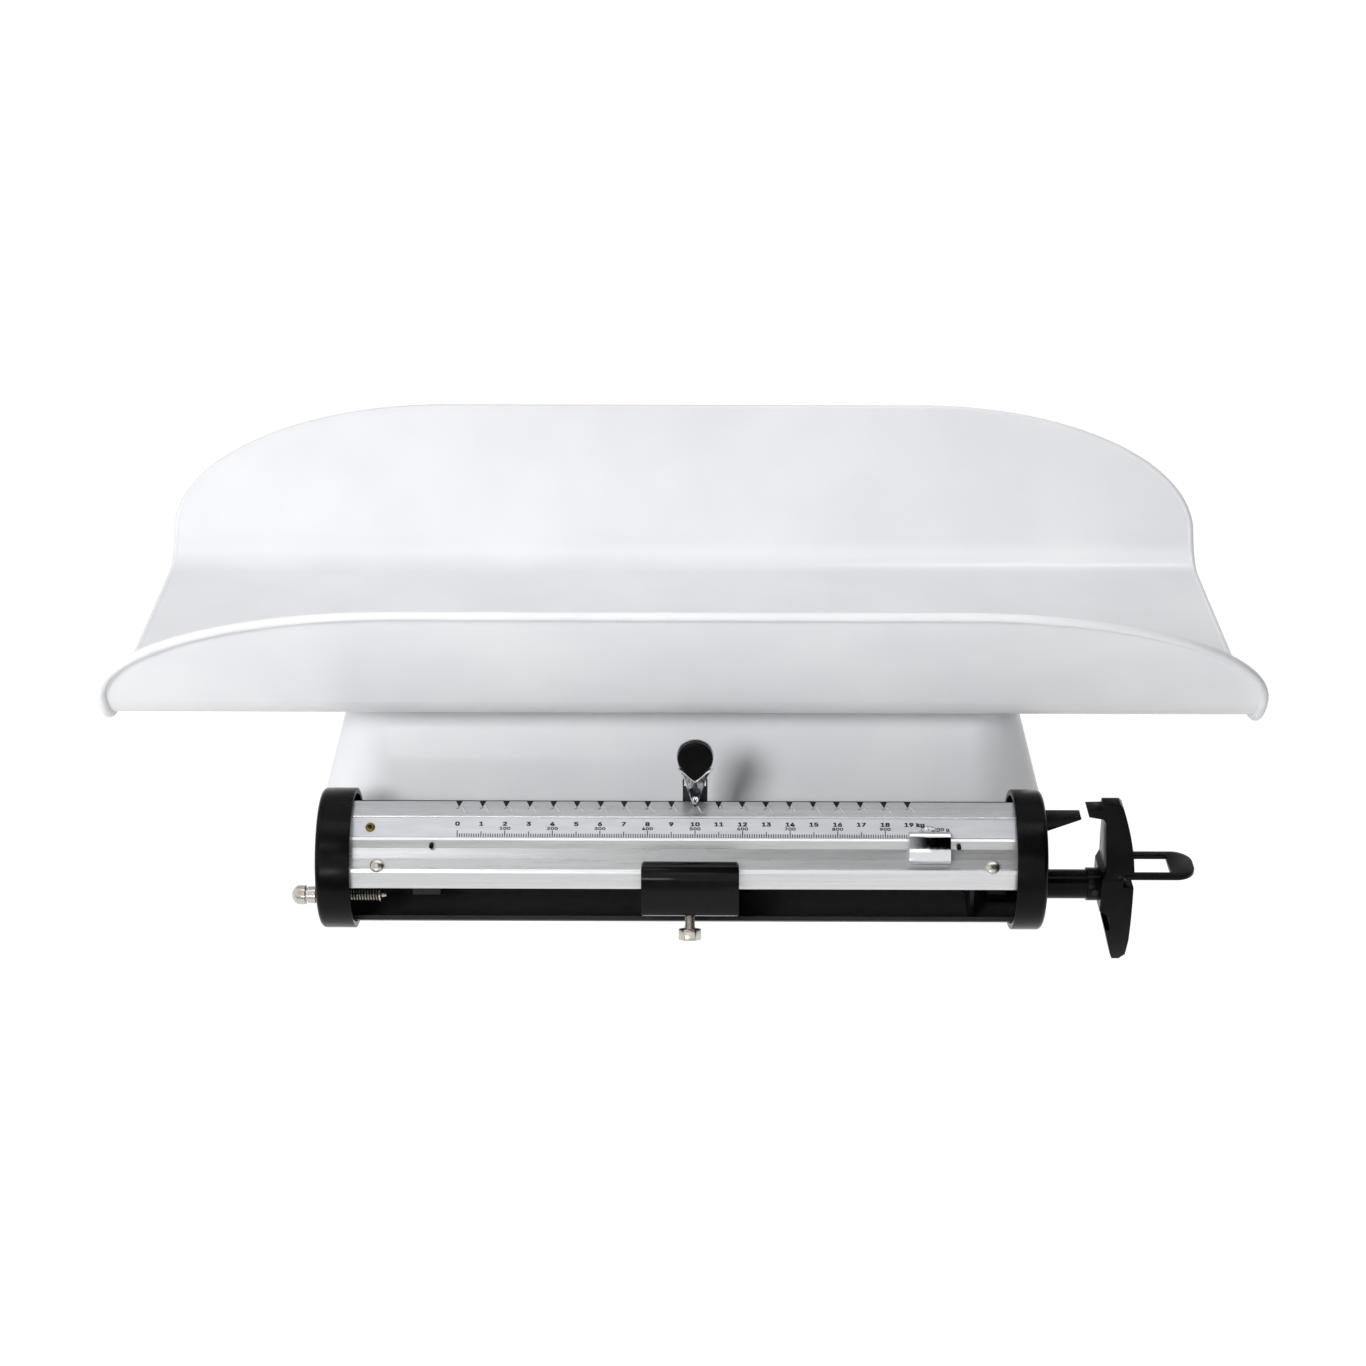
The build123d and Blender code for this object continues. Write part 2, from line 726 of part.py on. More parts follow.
with BuildPart() as lower_shell:
    with BuildSketch(across_beam(-tube_end_x)):
        with BuildLine():
            turn = shell_back_degrees - shell_front_degrees
            outer = CenterArc((0, 0), shell_radius, shell_front_degrees, turn)
            inner = CenterArc((0, 0), shell_inner_radius, shell_front_degrees, turn)
            Line(outer @ 0, inner @ 0)
            Line(outer @ 1, inner @ 1)
        make_face()
    extrude(amount=2 * tube_end_x)
    with BuildSketch(facing_front(beam_y, beam_z)):
        with Locations((fulcrum_x, fulcrum_arm_top - arm_thickness / 2)):
            Rectangle(
                2 * fulcrum_arm_half_width + 2 * window_gap,
                arm_thickness + 2 * window_gap,
            )
        with Locations((eye_middle_x, -bar_drop)):
            Rectangle(
                stand_eye_width + 2 * window_gap,
                2 * (eye_arm_half_height + swing_at_eye + window_gap),
            )
        with Locations((load_knife_x, -knife_drop - knife_height / 2)):
            Rectangle(2 * (knife_half_width + knife_slot_gap), knife_height + 2 * knife_slot_gap)
    extrude(amount=-shell_radius - overrun, mode=Mode.SUBTRACT)
write(lower_shell, "lower_shell")

# End caps: cups that hold the tube's ends
cap_edge_radius = 2.5
rod_radius = 3.0
rod_y = 8.0
rod_z = 11.0
zero_y = -18.0
zero_z = -10.1
zero_radius = 3.0
boss_wall = 3.0
boss_length = 8.0
bar_radius = 7.0
swing_at_cap = (cap_outer_x - fulcrum_x) * sin(radians(swing_degrees))
cap_hole_radius = bar_radius + swing_at_cap + sliding_gap


def cup(side, cap_depth):
    # A cup whose mouth looks to the beam's middle
    with BuildSketch(across_beam(side * cap_outer_x)) as cup_end:
        Circle(cap_outer_radius)
    extrude(cup_end.sketch, amount=-side * cap_depth)
    fillet(edges().filter_by(GeomType.CIRCLE).sort_by(Axis.X)[-1 if side > 0 else 0], cap_edge_radius)
    with BuildSketch(across_beam(side * tube_end_x)) as cup_hollow:
        Circle(cap_inner_radius)
    extrude(cup_hollow.sketch, amount=-side * cap_depth, mode=Mode.SUBTRACT)


with BuildPart() as left_end_cap:
    cup(-1, left_cap_depth)
    with BuildSketch(across_beam(-tube_end_x)):
        with Locations((zero_y, zero_z)):
            Circle(zero_radius + boss_wall)
    extrude(amount=boss_length)
    with BuildSketch(across_beam(-cap_outer_x)):
        with Locations((zero_y, zero_z)):
            Circle(zero_radius + running_fit)
    extrude(amount=left_cap_depth, mode=Mode.SUBTRACT)
write(left_end_cap, "left_end_cap")

# The right cap carries the balance pointer, a wedge with a flat top
pointer_height = 24.7
pointer_tip_x = 188.5
pointer_half_depth = 4.2
pointer_tip_thickness = 1.0
pointer_root_drop = 8.0
with BuildPart() as right_end_cap:
    cup(1, right_cap_depth)
    with BuildSketch(across_beam(cap_outer_x)):
        with Locations((0, -bar_drop)):
            Circle(cap_hole_radius)
    extrude(amount=-cap_end_wall, mode=Mode.SUBTRACT)
    with BuildSketch(facing_front(beam_y, beam_z)):
        Polygon(
            (tube_end_x, pointer_height),
            (pointer_tip_x, pointer_height),
            (pointer_tip_x, pointer_height - pointer_tip_thickness),
            (cap_outer_x, pointer_height - pointer_root_drop),
            (tube_end_x, pointer_height - pointer_root_drop),
            align=None,
        )
    extrude(amount=pointer_half_depth, both=True)
write(right_end_cap, "right_end_cap")

# Inside the beam: the guide rod between the caps, the two knives and the lock plate
with BuildPart() as guide_rod:
    with BuildSketch(across_beam(-tube_end_x)):
        with Locations((rod_y, rod_z)):
            Circle(rod_radius)
    extrude(amount=2 * tube_end_x)
write(guide_rod, "guide_rod")

knife_front_y = profile_shares[12][0] * shell_radius
with BuildPart() as fulcrum_knife:
    knife_back_y = sqrt(shell_inner_radius**2 - knife_drop**2)
    knife(
        fulcrum_x,
        beam_y + (knife_front_y + knife_back_y) / 2,
        fulcrum_z,
        knife_back_y - knife_front_y,
        -1,
    )
write(fulcrum_knife, "fulcrum_knife")

load_knife_inner_y = 14.0
load_knife_overhang = 2.0
with BuildPart() as load_knife:
    load_knife_end_y = link_y + link_thickness / 2 + load_knife_overhang
    load_knife_start_y = beam_y + load_knife_inner_y
    knife(
        load_knife_x,
        (load_knife_start_y + load_knife_end_y) / 2,
        fulcrum_z,
        load_knife_end_y - load_knife_start_y,
        1,
    )
write(load_knife, "load_knife")

lock_plate_x = 138.0
lock_plate_thickness = 2.0
lock_plate_half_width = 11.0
lock_plate_top = -4.0
with BuildPart() as lock_plate:
    with BuildSketch(across_beam(lock_plate_x - lock_plate_thickness / 2)):
        Circle(shell_inner_radius)
        with Locations((0, lock_plate_top - shell_radius)):
            Rectangle(2 * lock_plate_half_width, 2 * shell_radius, mode=Mode.INTERSECT)
    extrude(amount=lock_plate_thickness)
write(lock_plate, "lock_plate")

# Brackets from the base into the beam: the fulcrum stand and the stand of the fixed bar
flange_thickness = 3.0
flange_bottom = -32.0
flange_half_width = 12.0
bearing_back_y = 10.0
bearing_front_y = -8.0
bearing_length = 8.0
arm_front_y = bearing_front_y - bearing_length / 2
wall_y = base_front_y - beam_y
bracket_screw_head = 3.4
bracket_screw_head_height = 1.8

with BuildPart() as fulcrum_stand:
    with BuildSketch(facing_front(beam_y + wall_y, beam_z)):
        with Locations((fulcrum_x, (flange_bottom + fulcrum_arm_top) / 2)):
            Rectangle(2 * flange_half_width, fulcrum_arm_top - flange_bottom)
        with Locations(*bracket_screw_places[:2]):
            Circle(bracket_screw_radius + seat_gap, mode=Mode.SUBTRACT)
    extrude(amount=flange_thickness)
    with BuildSketch(across_beam(fulcrum_x)):
        Polygon(
            (wall_y - flange_thickness, fulcrum_arm_top),
            (arm_front_y, fulcrum_arm_top),
            (arm_front_y, fulcrum_arm_top - arm_thickness),
            (wall_y - flange_thickness, fulcrum_arm_top - arm_thickness),
            align=None,
        )
    extrude(amount=fulcrum_arm_half_width, both=True)
write(fulcrum_stand, "fulcrum_stand")

with BuildPart() as fulcrum_bearings:
    for y in (bearing_back_y, bearing_front_y):
        grooved_block(
            facing_front(beam_y + y).shift_origin((fulcrum_x, beam_y + y, beam_z + fulcrum_arm_top)),
            bearing_half_width,
            bearing_stand,
            bearing_length,
            groove_depth,
        )
write(fulcrum_bearings, "fulcrum_bearings")

eye_radius = 9.0
bar_flange_left_x = 126.0
with BuildPart() as bar_stand:
    with BuildSketch(across_beam(eye_left_x)):
        with Locations((0, -bar_drop)):
            Circle(eye_radius)
        with Locations(((wall_y - flange_thickness) / 2, -bar_drop)):
            Rectangle(wall_y - flange_thickness, 2 * eye_arm_half_height)
        with Locations((0, -bar_drop)):
            Circle(bar_radius, mode=Mode.SUBTRACT)
    extrude(amount=stand_eye_width)
    with BuildSketch(facing_front(beam_y + wall_y, beam_z)):
        bar(bar_flange_left_x, flange_bottom, eye_left_x + stand_eye_width, eye_arm_half_height - bar_drop)
        with Locations(*bracket_screw_places[2:]):
            Circle(bracket_screw_radius + seat_gap, mode=Mode.SUBTRACT)
    extrude(amount=flange_thickness)
write(bar_stand, "bar_stand")

# Fixed bar: a tube from its stand, through the right cap's hole, to the index bow
bow_x = 202.0
pocket_x = 200.8
lock_rod_radius = 2.9
with BuildPart() as fixed_bar:
    with BuildSketch(across_beam(eye_left_x)):
        with Locations((0, -bar_drop)):
            Circle(bar_radius)
            Circle(lock_rod_radius + running_fit, mode=Mode.SUBTRACT)
    extrude(amount=pocket_x - eye_left_x)
write(fixed_bar, "fixed_bar")

with BuildPart() as bracket_screws:
    with BuildSketch(facing_front(beam_y + wall_y - flange_thickness, beam_z)):
        with Locations(*bracket_screw_places):
            Circle(bracket_screw_head)
    extrude(amount=bracket_screw_head_height)
    with BuildSketch(facing_front(beam_y + wall_y - flange_thickness, beam_z)):
        with Locations(*bracket_screw_places):
            Circle(bracket_screw_radius)
    extrude(amount=-flange_thickness - 2 * base_sheet)
write(bracket_screws, "bracket_screws")

# Index bow: an upright plate with a hook at its top and a barb at its foot, on a hub round the bar
# Its outline is in shares of its height, to the right of the hub's face and up from the bar
bow_height = 84.6
bow_upper_shares = [
    (-0.035, 0.097),
    (-0.015, 0.144),
    (-0.027, 0.433),
    (-0.039, 0.453),
    (-0.121, 0.466),
    (-0.131, 0.498),
    (-0.043, 0.501),
    (-0.043, 0.532),
    (0.053, 0.532),
    (0.071, 0.512),
]
bow_shoulder_share = (0.117, 0.348)
bow_lower_shares = [
    (0.143, 0.158),
    (0.150, -0.314),
    (0.144, -0.430),
    (0.113, -0.468),
    (0.073, -0.468),
    (0.059, -0.433),
    (0.007, -0.232),
    (0.033, -0.240),
    (0.024, -0.147),
    (-0.012, -0.109),
    (-0.035, -0.097),
]
bow_waist_depth = 12.5
bow_tip_depth = 3.4
hub_radius = 7.9
hub_length = 8.5
lever_rise = 10.1
lever_pin_x = 207.5
lever_pin_radius = 1.2
pocket_half_width = 3.4
pocket_top = 6.0
pocket_bottom = -6.0
notch_left_x = 209.3
notch_above = 1.7
notch_below = 5.0
clamp_screw_inset = 5.4
clamp_screw_radius = 1.0


def on_bow(shares):
    return [(bow_x + x * bow_height, -bar_drop + z * bow_height) for x, z in shares]


with BuildPart() as index_bow:
    with BuildSketch(facing_front(beam_y, beam_z)):
        with BuildLine():
            upper = Polyline(*on_bow(bow_upper_shares))
            lower = Polyline(*on_bow(bow_lower_shares))
            ThreePointArc(upper @ 1, on_bow([bow_shoulder_share])[0], lower @ 0)
            Line(lower @ 1, upper @ 0)
        make_face()
    extrude(amount=bow_waist_depth, both=True)
    with BuildSketch(across_beam(bow_x)):
        with BuildLine():
            top_z = -bar_drop + bow_upper_shares[-2][1] * bow_height
            foot_z = -bar_drop + bow_lower_shares[3][1] * bow_height
            waist_z = -bar_drop
            tip, waist = bow_tip_depth, bow_waist_depth
            back = ThreePointArc((tip, top_z), (waist, waist_z), (tip, foot_z))
            front = ThreePointArc((-tip, top_z), (-waist, waist_z), (-tip, foot_z))
            Line(back @ 0, front @ 0)
            Line(back @ 1, front @ 1)
        make_face()
    extrude(amount=bow_height / 3, both=True, mode=Mode.INTERSECT)
    with BuildSketch(across_beam(bow_x - hub_length)):
        with Locations((0, -bar_drop)):
            Circle(hub_radius)
    extrude(amount=2 * hub_length)
    with BuildSketch(across_beam(bow_x - hub_length)):
        with Locations((0, -bar_drop)):
            Circle(bar_radius)
    extrude(amount=pocket_x - bow_x + hub_length, mode=Mode.SUBTRACT)
    with BuildSketch(facing_front(beam_y, beam_z - bar_drop)):
        bar(pocket_x, pocket_bottom, bow_x + 2 * hub_length, lever_rise + pocket_top)
    extrude(amount=pocket_half_width, both=True, mode=Mode.SUBTRACT)
    with BuildSketch(facing_front(beam_y, beam_z - bar_drop + lever_rise)):
        with Locations((lever_pin_x, 0)):
            Circle(lever_pin_radius)
        bar(notch_left_x, -notch_below, bow_x + 2 * hub_length, notch_above)
    extrude(amount=bow_waist_depth + overrun, both=True, mode=Mode.SUBTRACT)
    with BuildSketch(facing_front(beam_y, beam_z - bar_drop)):
        with Locations((bow_x - clamp_screw_inset, 0)):
            Circle(clamp_screw_radius)
    extrude(amount=hub_radius, mode=Mode.SUBTRACT)
write(index_bow, "index_bow")

clamp_screw_head = 1.6
clamp_screw_head_height = 0.8
with BuildPart() as bow_clamp_screw:
    with BuildSketch(facing_front(beam_y - bar_radius, beam_z - bar_drop)):
        with Locations((bow_x - clamp_screw_inset, 0)):
            Circle(clamp_screw_radius)
    extrude(amount=hub_radius - bar_radius)
    with BuildSketch(facing_front(beam_y - hub_radius, beam_z - bar_drop)):
        with Locations((bow_x - clamp_screw_inset, 0)):
            Circle(clamp_screw_head)
    extrude(amount=clamp_screw_head_height)
write(bow_clamp_screw, "bow_clamp_screw")

# Lock lever: a flat loop for a finger, with a tongue on the pin and a finger that pushes the lock rod
loop_thickness = 2.5
loop_half_width = 12.0
loop_arm_width = 4.0
loop_root_x = 210.5
loop_root_width = 2.5
loop_tip_x = 244.0
loop_slot_end_x = 232.0
pusher_left_x = 206.0
pusher_right_x = 209.2
pusher_length = 11.5
pin_boss_radius = 2.6
with BuildPart() as lock_lever:
    lever_level = Plane((0, beam_y, beam_z - bar_drop + lever_rise - loop_thickness / 2))
    slot_half_width = loop_half_width - loop_arm_width
    with BuildSketch(lever_level):
        bar(loop_root_x, -loop_half_width, loop_tip_x, loop_half_width)
        fillet(vertices().group_by(Axis.X)[-1], loop_half_width - loop_root_width)
        bar(
            loop_root_x + loop_root_width,
            -slot_half_width,
            loop_slot_end_x,
            slot_half_width,
            Mode.SUBTRACT,
        )
    extrude(amount=loop_thickness)
    with BuildSketch(facing_front(beam_y, beam_z - bar_drop + lever_rise)):
        bar(lever_pin_x, -loop_thickness / 2, loop_root_x + loop_root_width, loop_thickness / 2)
        bar(pusher_left_x, -pusher_length, pusher_right_x, 0)
        with Locations((lever_pin_x, 0)):
            Circle(pin_boss_radius)
            Circle(lever_pin_radius + running_fit, mode=Mode.SUBTRACT)
    extrude(amount=pocket_half_width - sliding_gap, both=True)
write(lock_lever, "lock_lever")

lock_pin_inset = 0.9
with BuildPart() as lock_pin:
    with BuildSketch(facing_front(beam_y, beam_z - bar_drop + lever_rise)):
        with Locations((lever_pin_x, 0)):
            Circle(lever_pin_radius)
    extrude(amount=bow_waist_depth - lock_pin_inset, both=True)
write(lock_pin, "lock_pin")

lock_travel = 4.2
lock_end_gap = 0.5
pusher_gap = 0.9
lock_rod_end_x = pusher_left_x - pusher_gap
lock_rod_tip_x = lock_plate_x + lock_plate_thickness / 2 + lock_end_gap + lock_travel
with BuildPart() as lock_rod:
    with BuildSketch(across_beam(lock_rod_tip_x)):
        with Locations((0, -bar_drop)):
            Circle(lock_rod_radius)
    extrude(amount=lock_rod_end_x - lock_rod_tip_x)
write(lock_rod, "lock_rod")

# Kilogram poise: a weight on the guide rod, a neck behind the flange, a latch and a knob
weight_radius = 17.0
weight_y = 4.0
weight_left = 5.0
weight_right = 28.0
neck_width = 11.7
neck_head_width = 7.6
neck_front_y = 3.0
neck_back_y = 6.5
neck_bottom_z = 14.6
neck_shoulder_z = 39.6
neck_top_z = 46.0
latch_pin_radius = 1.0
latch_pin_y = (neck_front_y + neck_back_y) / 2
latch_pin_z = 43.5
ear_thickness = 1.0
ear_gap = 0.3
neck_corner = 1.0
with BuildPart() as kg_weight:
    with BuildSketch(across_beam(kg_x - weight_left)):
        with Locations((weight_y, 0)):
            Circle(weight_radius)
        with Locations((rod_y, rod_z)):
            Circle(rod_radius + running_fit, mode=Mode.SUBTRACT)
    extrude(amount=weight_left + weight_right)
    with BuildSketch(Plane((kg_x, beam_y + latch_pin_y, beam_z + neck_bottom_z))):
        Rectangle(neck_width + 2 * seat_gap, neck_back_y - neck_front_y + 2 * seat_gap)
    extrude(amount=weight_radius, mode=Mode.SUBTRACT)
write(kg_weight, "kg_weight")

with BuildPart() as kg_carriage:
    with BuildSketch(facing_front(beam_y + neck_back_y, beam_z)):
        bar(kg_x - neck_width / 2, neck_bottom_z, kg_x + neck_width / 2, neck_shoulder_z)
        bar(kg_x - neck_head_width / 2, neck_bottom_z, kg_x + neck_head_width / 2, neck_top_z)
        fillet(vertices().group_by(Axis.Y)[-1], neck_corner)
    extrude(amount=neck_back_y - neck_front_y)
    with BuildSketch(across_beam(kg_x)):
        with Locations((latch_pin_y, latch_pin_z)):
            Circle(latch_pin_radius)
    extrude(amount=neck_width, both=True, mode=Mode.SUBTRACT)
write(kg_carriage, "kg_carriage")

with BuildPart() as latch_pin:
    with BuildSketch(across_beam(kg_x)):
        with Locations((latch_pin_y, latch_pin_z)):
            Circle(latch_pin_radius)
    extrude(amount=neck_width / 2, both=True)
write(latch_pin, "latch_pin")

knob_z = 56.0
knob_tangent_degrees = 46.0
knob_radius = 8.3
knob_front_y = -5.6
knob_point_z = 44.0
plate_front_y = -2.2
latch_sheet = 1.0
latch_rim = 0.4
latch_tip_z = 30.1
latch_wing_half = 7.5
latch_wing_z = 48.6
latch_half_widths = [5.1, 4.0, 2.2, 0.6]
latch_heights = [45.0, 40.7, 35.2, 31.2]
latch_edge = list(zip(latch_half_widths, latch_heights))
ear_bottom_z = 40.3
ear_top_z = 46.7
with BuildPart() as kg_latch:
    with BuildSketch(facing_front(beam_y + plate_front_y + latch_sheet, beam_z)):
        with Locations((kg_x, knob_z)):
            Circle(knob_radius + latch_rim)
        Polygon(
            (kg_x - knob_radius - latch_rim, knob_z),
            (kg_x - latch_wing_half, latch_wing_z),
            *[(kg_x - half, z) for half, z in latch_edge],
            (kg_x, latch_tip_z),
            *[(kg_x + half, z) for half, z in reversed(latch_edge)],
            (kg_x + latch_wing_half, latch_wing_z),
            (kg_x + knob_radius + latch_rim, knob_z),
            align=None,
        )
    extrude(amount=latch_sheet)
    for side in (1, -1):
        ear_x = kg_x + side * (neck_head_width / 2 + ear_gap)
        with BuildSketch(across_beam(ear_x)):
            bar(plate_front_y, ear_bottom_z, latch_pin_y, ear_top_z)
            with Locations((latch_pin_y, latch_pin_z)):
                Circle((ear_top_z - ear_bottom_z) / 2)
                Circle(latch_pin_radius + running_fit, mode=Mode.SUBTRACT)
        extrude(amount=side * ear_thickness)
write(kg_latch, "kg_latch")

with BuildPart() as kg_knob:
    with BuildSketch(facing_front(beam_y + plate_front_y, beam_z)):
        with Locations((kg_x, knob_z)):
            Circle(knob_radius)
        knob_tangent = radians(knob_tangent_degrees)
        Polygon(
            (kg_x, knob_point_z),
            (kg_x + knob_radius * sin(knob_tangent), knob_z - knob_radius * cos(knob_tangent)),
            (kg_x - knob_radius * sin(knob_tangent), knob_z - knob_radius * cos(knob_tangent)),
            align=None,
        )
    extrude(amount=plate_front_y - knob_front_y)
    fillet(faces().sort_by(Axis.Y)[0].edges(), latch_sheet)
write(kg_knob, "kg_knob")

# Gram poise: a saddle over the bead and the channel, with a pointer tongue on the label
gram_x = 115.8
gram_width = 19.3
gram_outer_shares = [
    (-0.520, 0.830),
    (-0.620, 0.847),
    (-0.707, 0.790),
    (-0.867, 0.590),
    (-0.907, 0.430),
    (-0.853, 0.410),
]
gram_inner_shares = [
    (-0.807, 0.447),
    (-0.710, 0.563),
    (-0.687, 0.697),
    (-0.643, 0.740),
    (-0.540, 0.810),
]
tongue_half_width = 5.2
tongue_tip_half_width = 1.6
tongue_reach = 0.8
tongue_root = -3.2
tongue_thickness = 1.0
with BuildPart() as gram_poise:
    with BuildSketch(across_beam(gram_x - gram_width / 2)):
        Polygon(*in_section(gram_outer_shares + gram_inner_shares), align=None)
    extrude(amount=gram_width)
    with BuildSketch(on_label(gram_x).offset(label_thickness + sliding_gap)):
        Polygon(
            (-tongue_half_width, tongue_root),
            (tongue_half_width, tongue_root),
            (tongue_tip_half_width, tongue_reach),
            (-tongue_tip_half_width, tongue_reach),
            align=None,
        )
    extrude(amount=tongue_thickness)
write(gram_poise, "gram_poise")

# Tare poise: a block that hooks over the profile's lip, clamped by a thumb screw from below
tare_x = 4.0
tare_width = 45.5
tare_outer_shares = [
    (-0.950, 0.487),
    (-1.110, 0.470),
    (-1.200, 0.300),
    (-1.190, -0.283),
    (-1.100, -0.407),
    (-0.807, -0.407),
    (-0.807, 0.140),
    (-0.873, 0.140),
    (-0.873, -0.020),
    (-0.970, -0.020),
    (-0.970, 0.277),
    (-0.953, 0.343),
]
tare_corner = 1.5
tare_screw_radius = 2.5
tare_screw_top = -6.0


def tare_screw_plane(along):
    # A plane across the thumb screw, whose Z leans forwards and down
    middle = Plane(
        origin=(tare_x, beam_y + tare_screw_y, beam_z + tare_screw_z),
        x_dir=(1, 0, 0),
        z_dir=(0, -sin(tare_lean), -cos(tare_lean)),
    )
    return middle.offset(along)


tare_shank = tare_screw_head_start - tare_screw_top
with BuildPart() as tare_poise:
    with BuildSketch(across_beam(tare_x - tare_width / 2)):
        Polygon(*in_section(tare_outer_shares), align=None)
    extrude(amount=tare_width)
    fillet(edges().filter_by(Axis.X).group_by(Axis.Y)[0], tare_corner)
    with BuildSketch(tare_screw_plane(tare_screw_head_start)) as screw_way:
        Circle(tare_screw_radius + running_fit)
    extrude(screw_way.sketch, amount=-tare_shank - running_fit, mode=Mode.SUBTRACT)
write(tare_poise, "tare_poise")

with BuildPart() as tare_screw:
    with BuildSketch(tare_screw_plane(tare_screw_head_start)) as thumb_shank:
        Circle(tare_screw_radius)
    extrude(thumb_shank.sketch, amount=-tare_shank)
    with BuildSketch(tare_screw_plane(tare_screw_head_start)) as thumb_head:
        Circle(tare_screw_head)
    extrude(thumb_head.sketch, amount=tare_screw_head_height)
write(tare_screw, "tare_screw")

# Zero screw: a domed knob with a groove and a threaded shank with a point
dome_radius = 4.7
dome_length = 6.6
dome_left_x = -184.0
groove_radius = 3.4
groove_length = 1.2
collar_radius = 4.2
collar_length = 3.6
shank_end_x = -141.5
point_length = 2.2
with BuildPart() as zero_screw:
    with BuildSketch(Plane(origin=(0, beam_y + zero_y, beam_z + zero_z), x_dir=(1, 0, 0), z_dir=(0, -1, 0))):
        with BuildLine():
            dome_end = dome_left_x + dome_length
            groove_end = dome_end + groove_length
            collar_end = groove_end + collar_length
            dome = ThreePointArc(
                (dome_left_x, 0),
                (dome_left_x + dome_radius / 4, dome_radius * 3 / 4),
                (dome_left_x + dome_length / 2, dome_radius),
            )
            Polyline(
                dome @ 1,
                (dome_end, dome_radius),
                (dome_end, groove_radius),
                (groove_end, groove_radius),
                (groove_end, collar_radius),
                (collar_end, collar_radius),
                (collar_end, zero_radius),
                (shank_end_x, zero_radius),
                (shank_end_x + point_length, 0),
                dome @ 0,
            )
        make_face()
    revolve(axis=Axis((0, beam_y + zero_y, beam_z + zero_z), (1, 0, 0)))
write(zero_screw, "zero_screw")
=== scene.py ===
import json
import math

import bmesh
import bpy
from mathutils import Matrix, Vector


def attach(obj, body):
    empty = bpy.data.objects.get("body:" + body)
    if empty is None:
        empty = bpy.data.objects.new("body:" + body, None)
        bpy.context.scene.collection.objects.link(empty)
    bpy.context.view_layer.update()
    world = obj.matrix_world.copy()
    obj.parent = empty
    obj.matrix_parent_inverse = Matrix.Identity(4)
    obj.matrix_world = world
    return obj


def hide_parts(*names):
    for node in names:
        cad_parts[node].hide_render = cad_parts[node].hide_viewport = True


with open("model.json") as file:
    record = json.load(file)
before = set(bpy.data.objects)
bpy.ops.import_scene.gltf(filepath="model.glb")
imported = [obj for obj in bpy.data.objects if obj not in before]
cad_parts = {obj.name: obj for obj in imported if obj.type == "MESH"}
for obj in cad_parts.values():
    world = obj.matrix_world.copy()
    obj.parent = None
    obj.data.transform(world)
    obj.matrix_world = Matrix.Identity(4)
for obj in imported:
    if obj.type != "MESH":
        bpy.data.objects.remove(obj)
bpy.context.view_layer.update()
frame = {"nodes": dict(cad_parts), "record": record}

bl_info = {
    "name": "Baby Beam Scale",
    "version": (1, 0, 0),
    "blender": (4, 5, 0),
    "location": "View3D > Sidebar > Baby Scale",
    "description": "Dresses a mechanical baby scale: pan, base, beam, poises, index and studio",
    "category": "Add Mesh",
}

MM = 0.001

# The solids' own places, in millimetres, which the pieces here repeat; a pair is back and up
# from the tube's axis
BEAM_Y = -108.086
BEAM_Z = 54.0
SHELL_RADIUS = 30.0
SHELL_WALL = 2.0
SHELL_END = 168.6
KG_X = 6.26
NOTCHES = 20
FIRST_NOTCH_X = -104.94
NOTCH_PITCH = 11.12
LABEL_MIDDLE = (-14.61, 24.42)
LABEL_UP = (0.7402, 0.6724)
LABEL_OUT = (-0.6724, 0.7402)
LABEL_EYELET_X = -145.7
GRAM_X = 115.8
TARE_X = 4.0
TARE_SCREW = (-30.5, -11.5)
TARE_LEAN = math.radians(25.0)
ZERO_SCREW = (-18.0, -10.1)
PROFILE_SCREW = (-27.0, 11.01)
PROFILE_SCREWS_X = (-142.0, 145.0)
PROFILE_SCREW_LEAN = 48.0

# Meshing: the gap that merges, the turn that still counts as flat and the steps of a turned form
MERGE_GAP = 1e-6
FLAT_TURN = math.radians(0.5)
TURN_STEPS = 48

# The print: each row's place up the label, its widening and its boldness; the ticks' foot; how
# far both stand out of the label, and a bold word's next print; and the gaps before the units
KILOGRAM_ROW = (1.0, 1.38, 0.22)
GRAM_ROW = (-1.0, 1.45, 0.13)
TICK_FOOT = -4.65
WORDS_OUT = 0.31
NEXT_PRINT_OUT = 0.003
TICKS_OUT = 0.32
KG_GAP = 5.4
GRAM_GAP = 3.0
INK_THICKNESS = 0.00002
CAPITAL_SHARE = 0.73

# How far the black mouldings' edges are rounded, in millimetres
MOULDED = {
    "index_bow": 0.9,
    "lock_lever": 0.7,
    "left_end_cap": 0.5,
    "right_end_cap": 0.5,
    "kg_knob": 0.9,
}

# The tare block's section, its front drawn as one curve, half its length, and the rounding of
# its corners and edges
TARE_FRONT = ((-28.5, 14.6), (-30.2, 14.8), (-31.4, 14.5), (-32.4, 13.9), (-33.2, 13.0))
TARE_FRONT += ((-33.95, 11.9), (-34.6, 10.8), (-35.15, 9.6), (-35.55, 8.4), (-35.8, 7.0))
TARE_FRONT += ((-35.95, 5.0), (-35.95, 0.0), (-35.9, -5.0), (-35.6, -8.5), (-34.8, -10.8))
TARE_BACK = ((-33.0, -12.2), (-24.2, -12.2), (-24.2, 4.2), (-26.2, 4.2), (-26.2, -0.6))
TARE_BACK += ((-29.1, -0.6), (-29.1, 8.3), (-28.6, 10.3))
TARE_HALF = 22.75
TARE_ROUNDING = (2.2, 0.5)

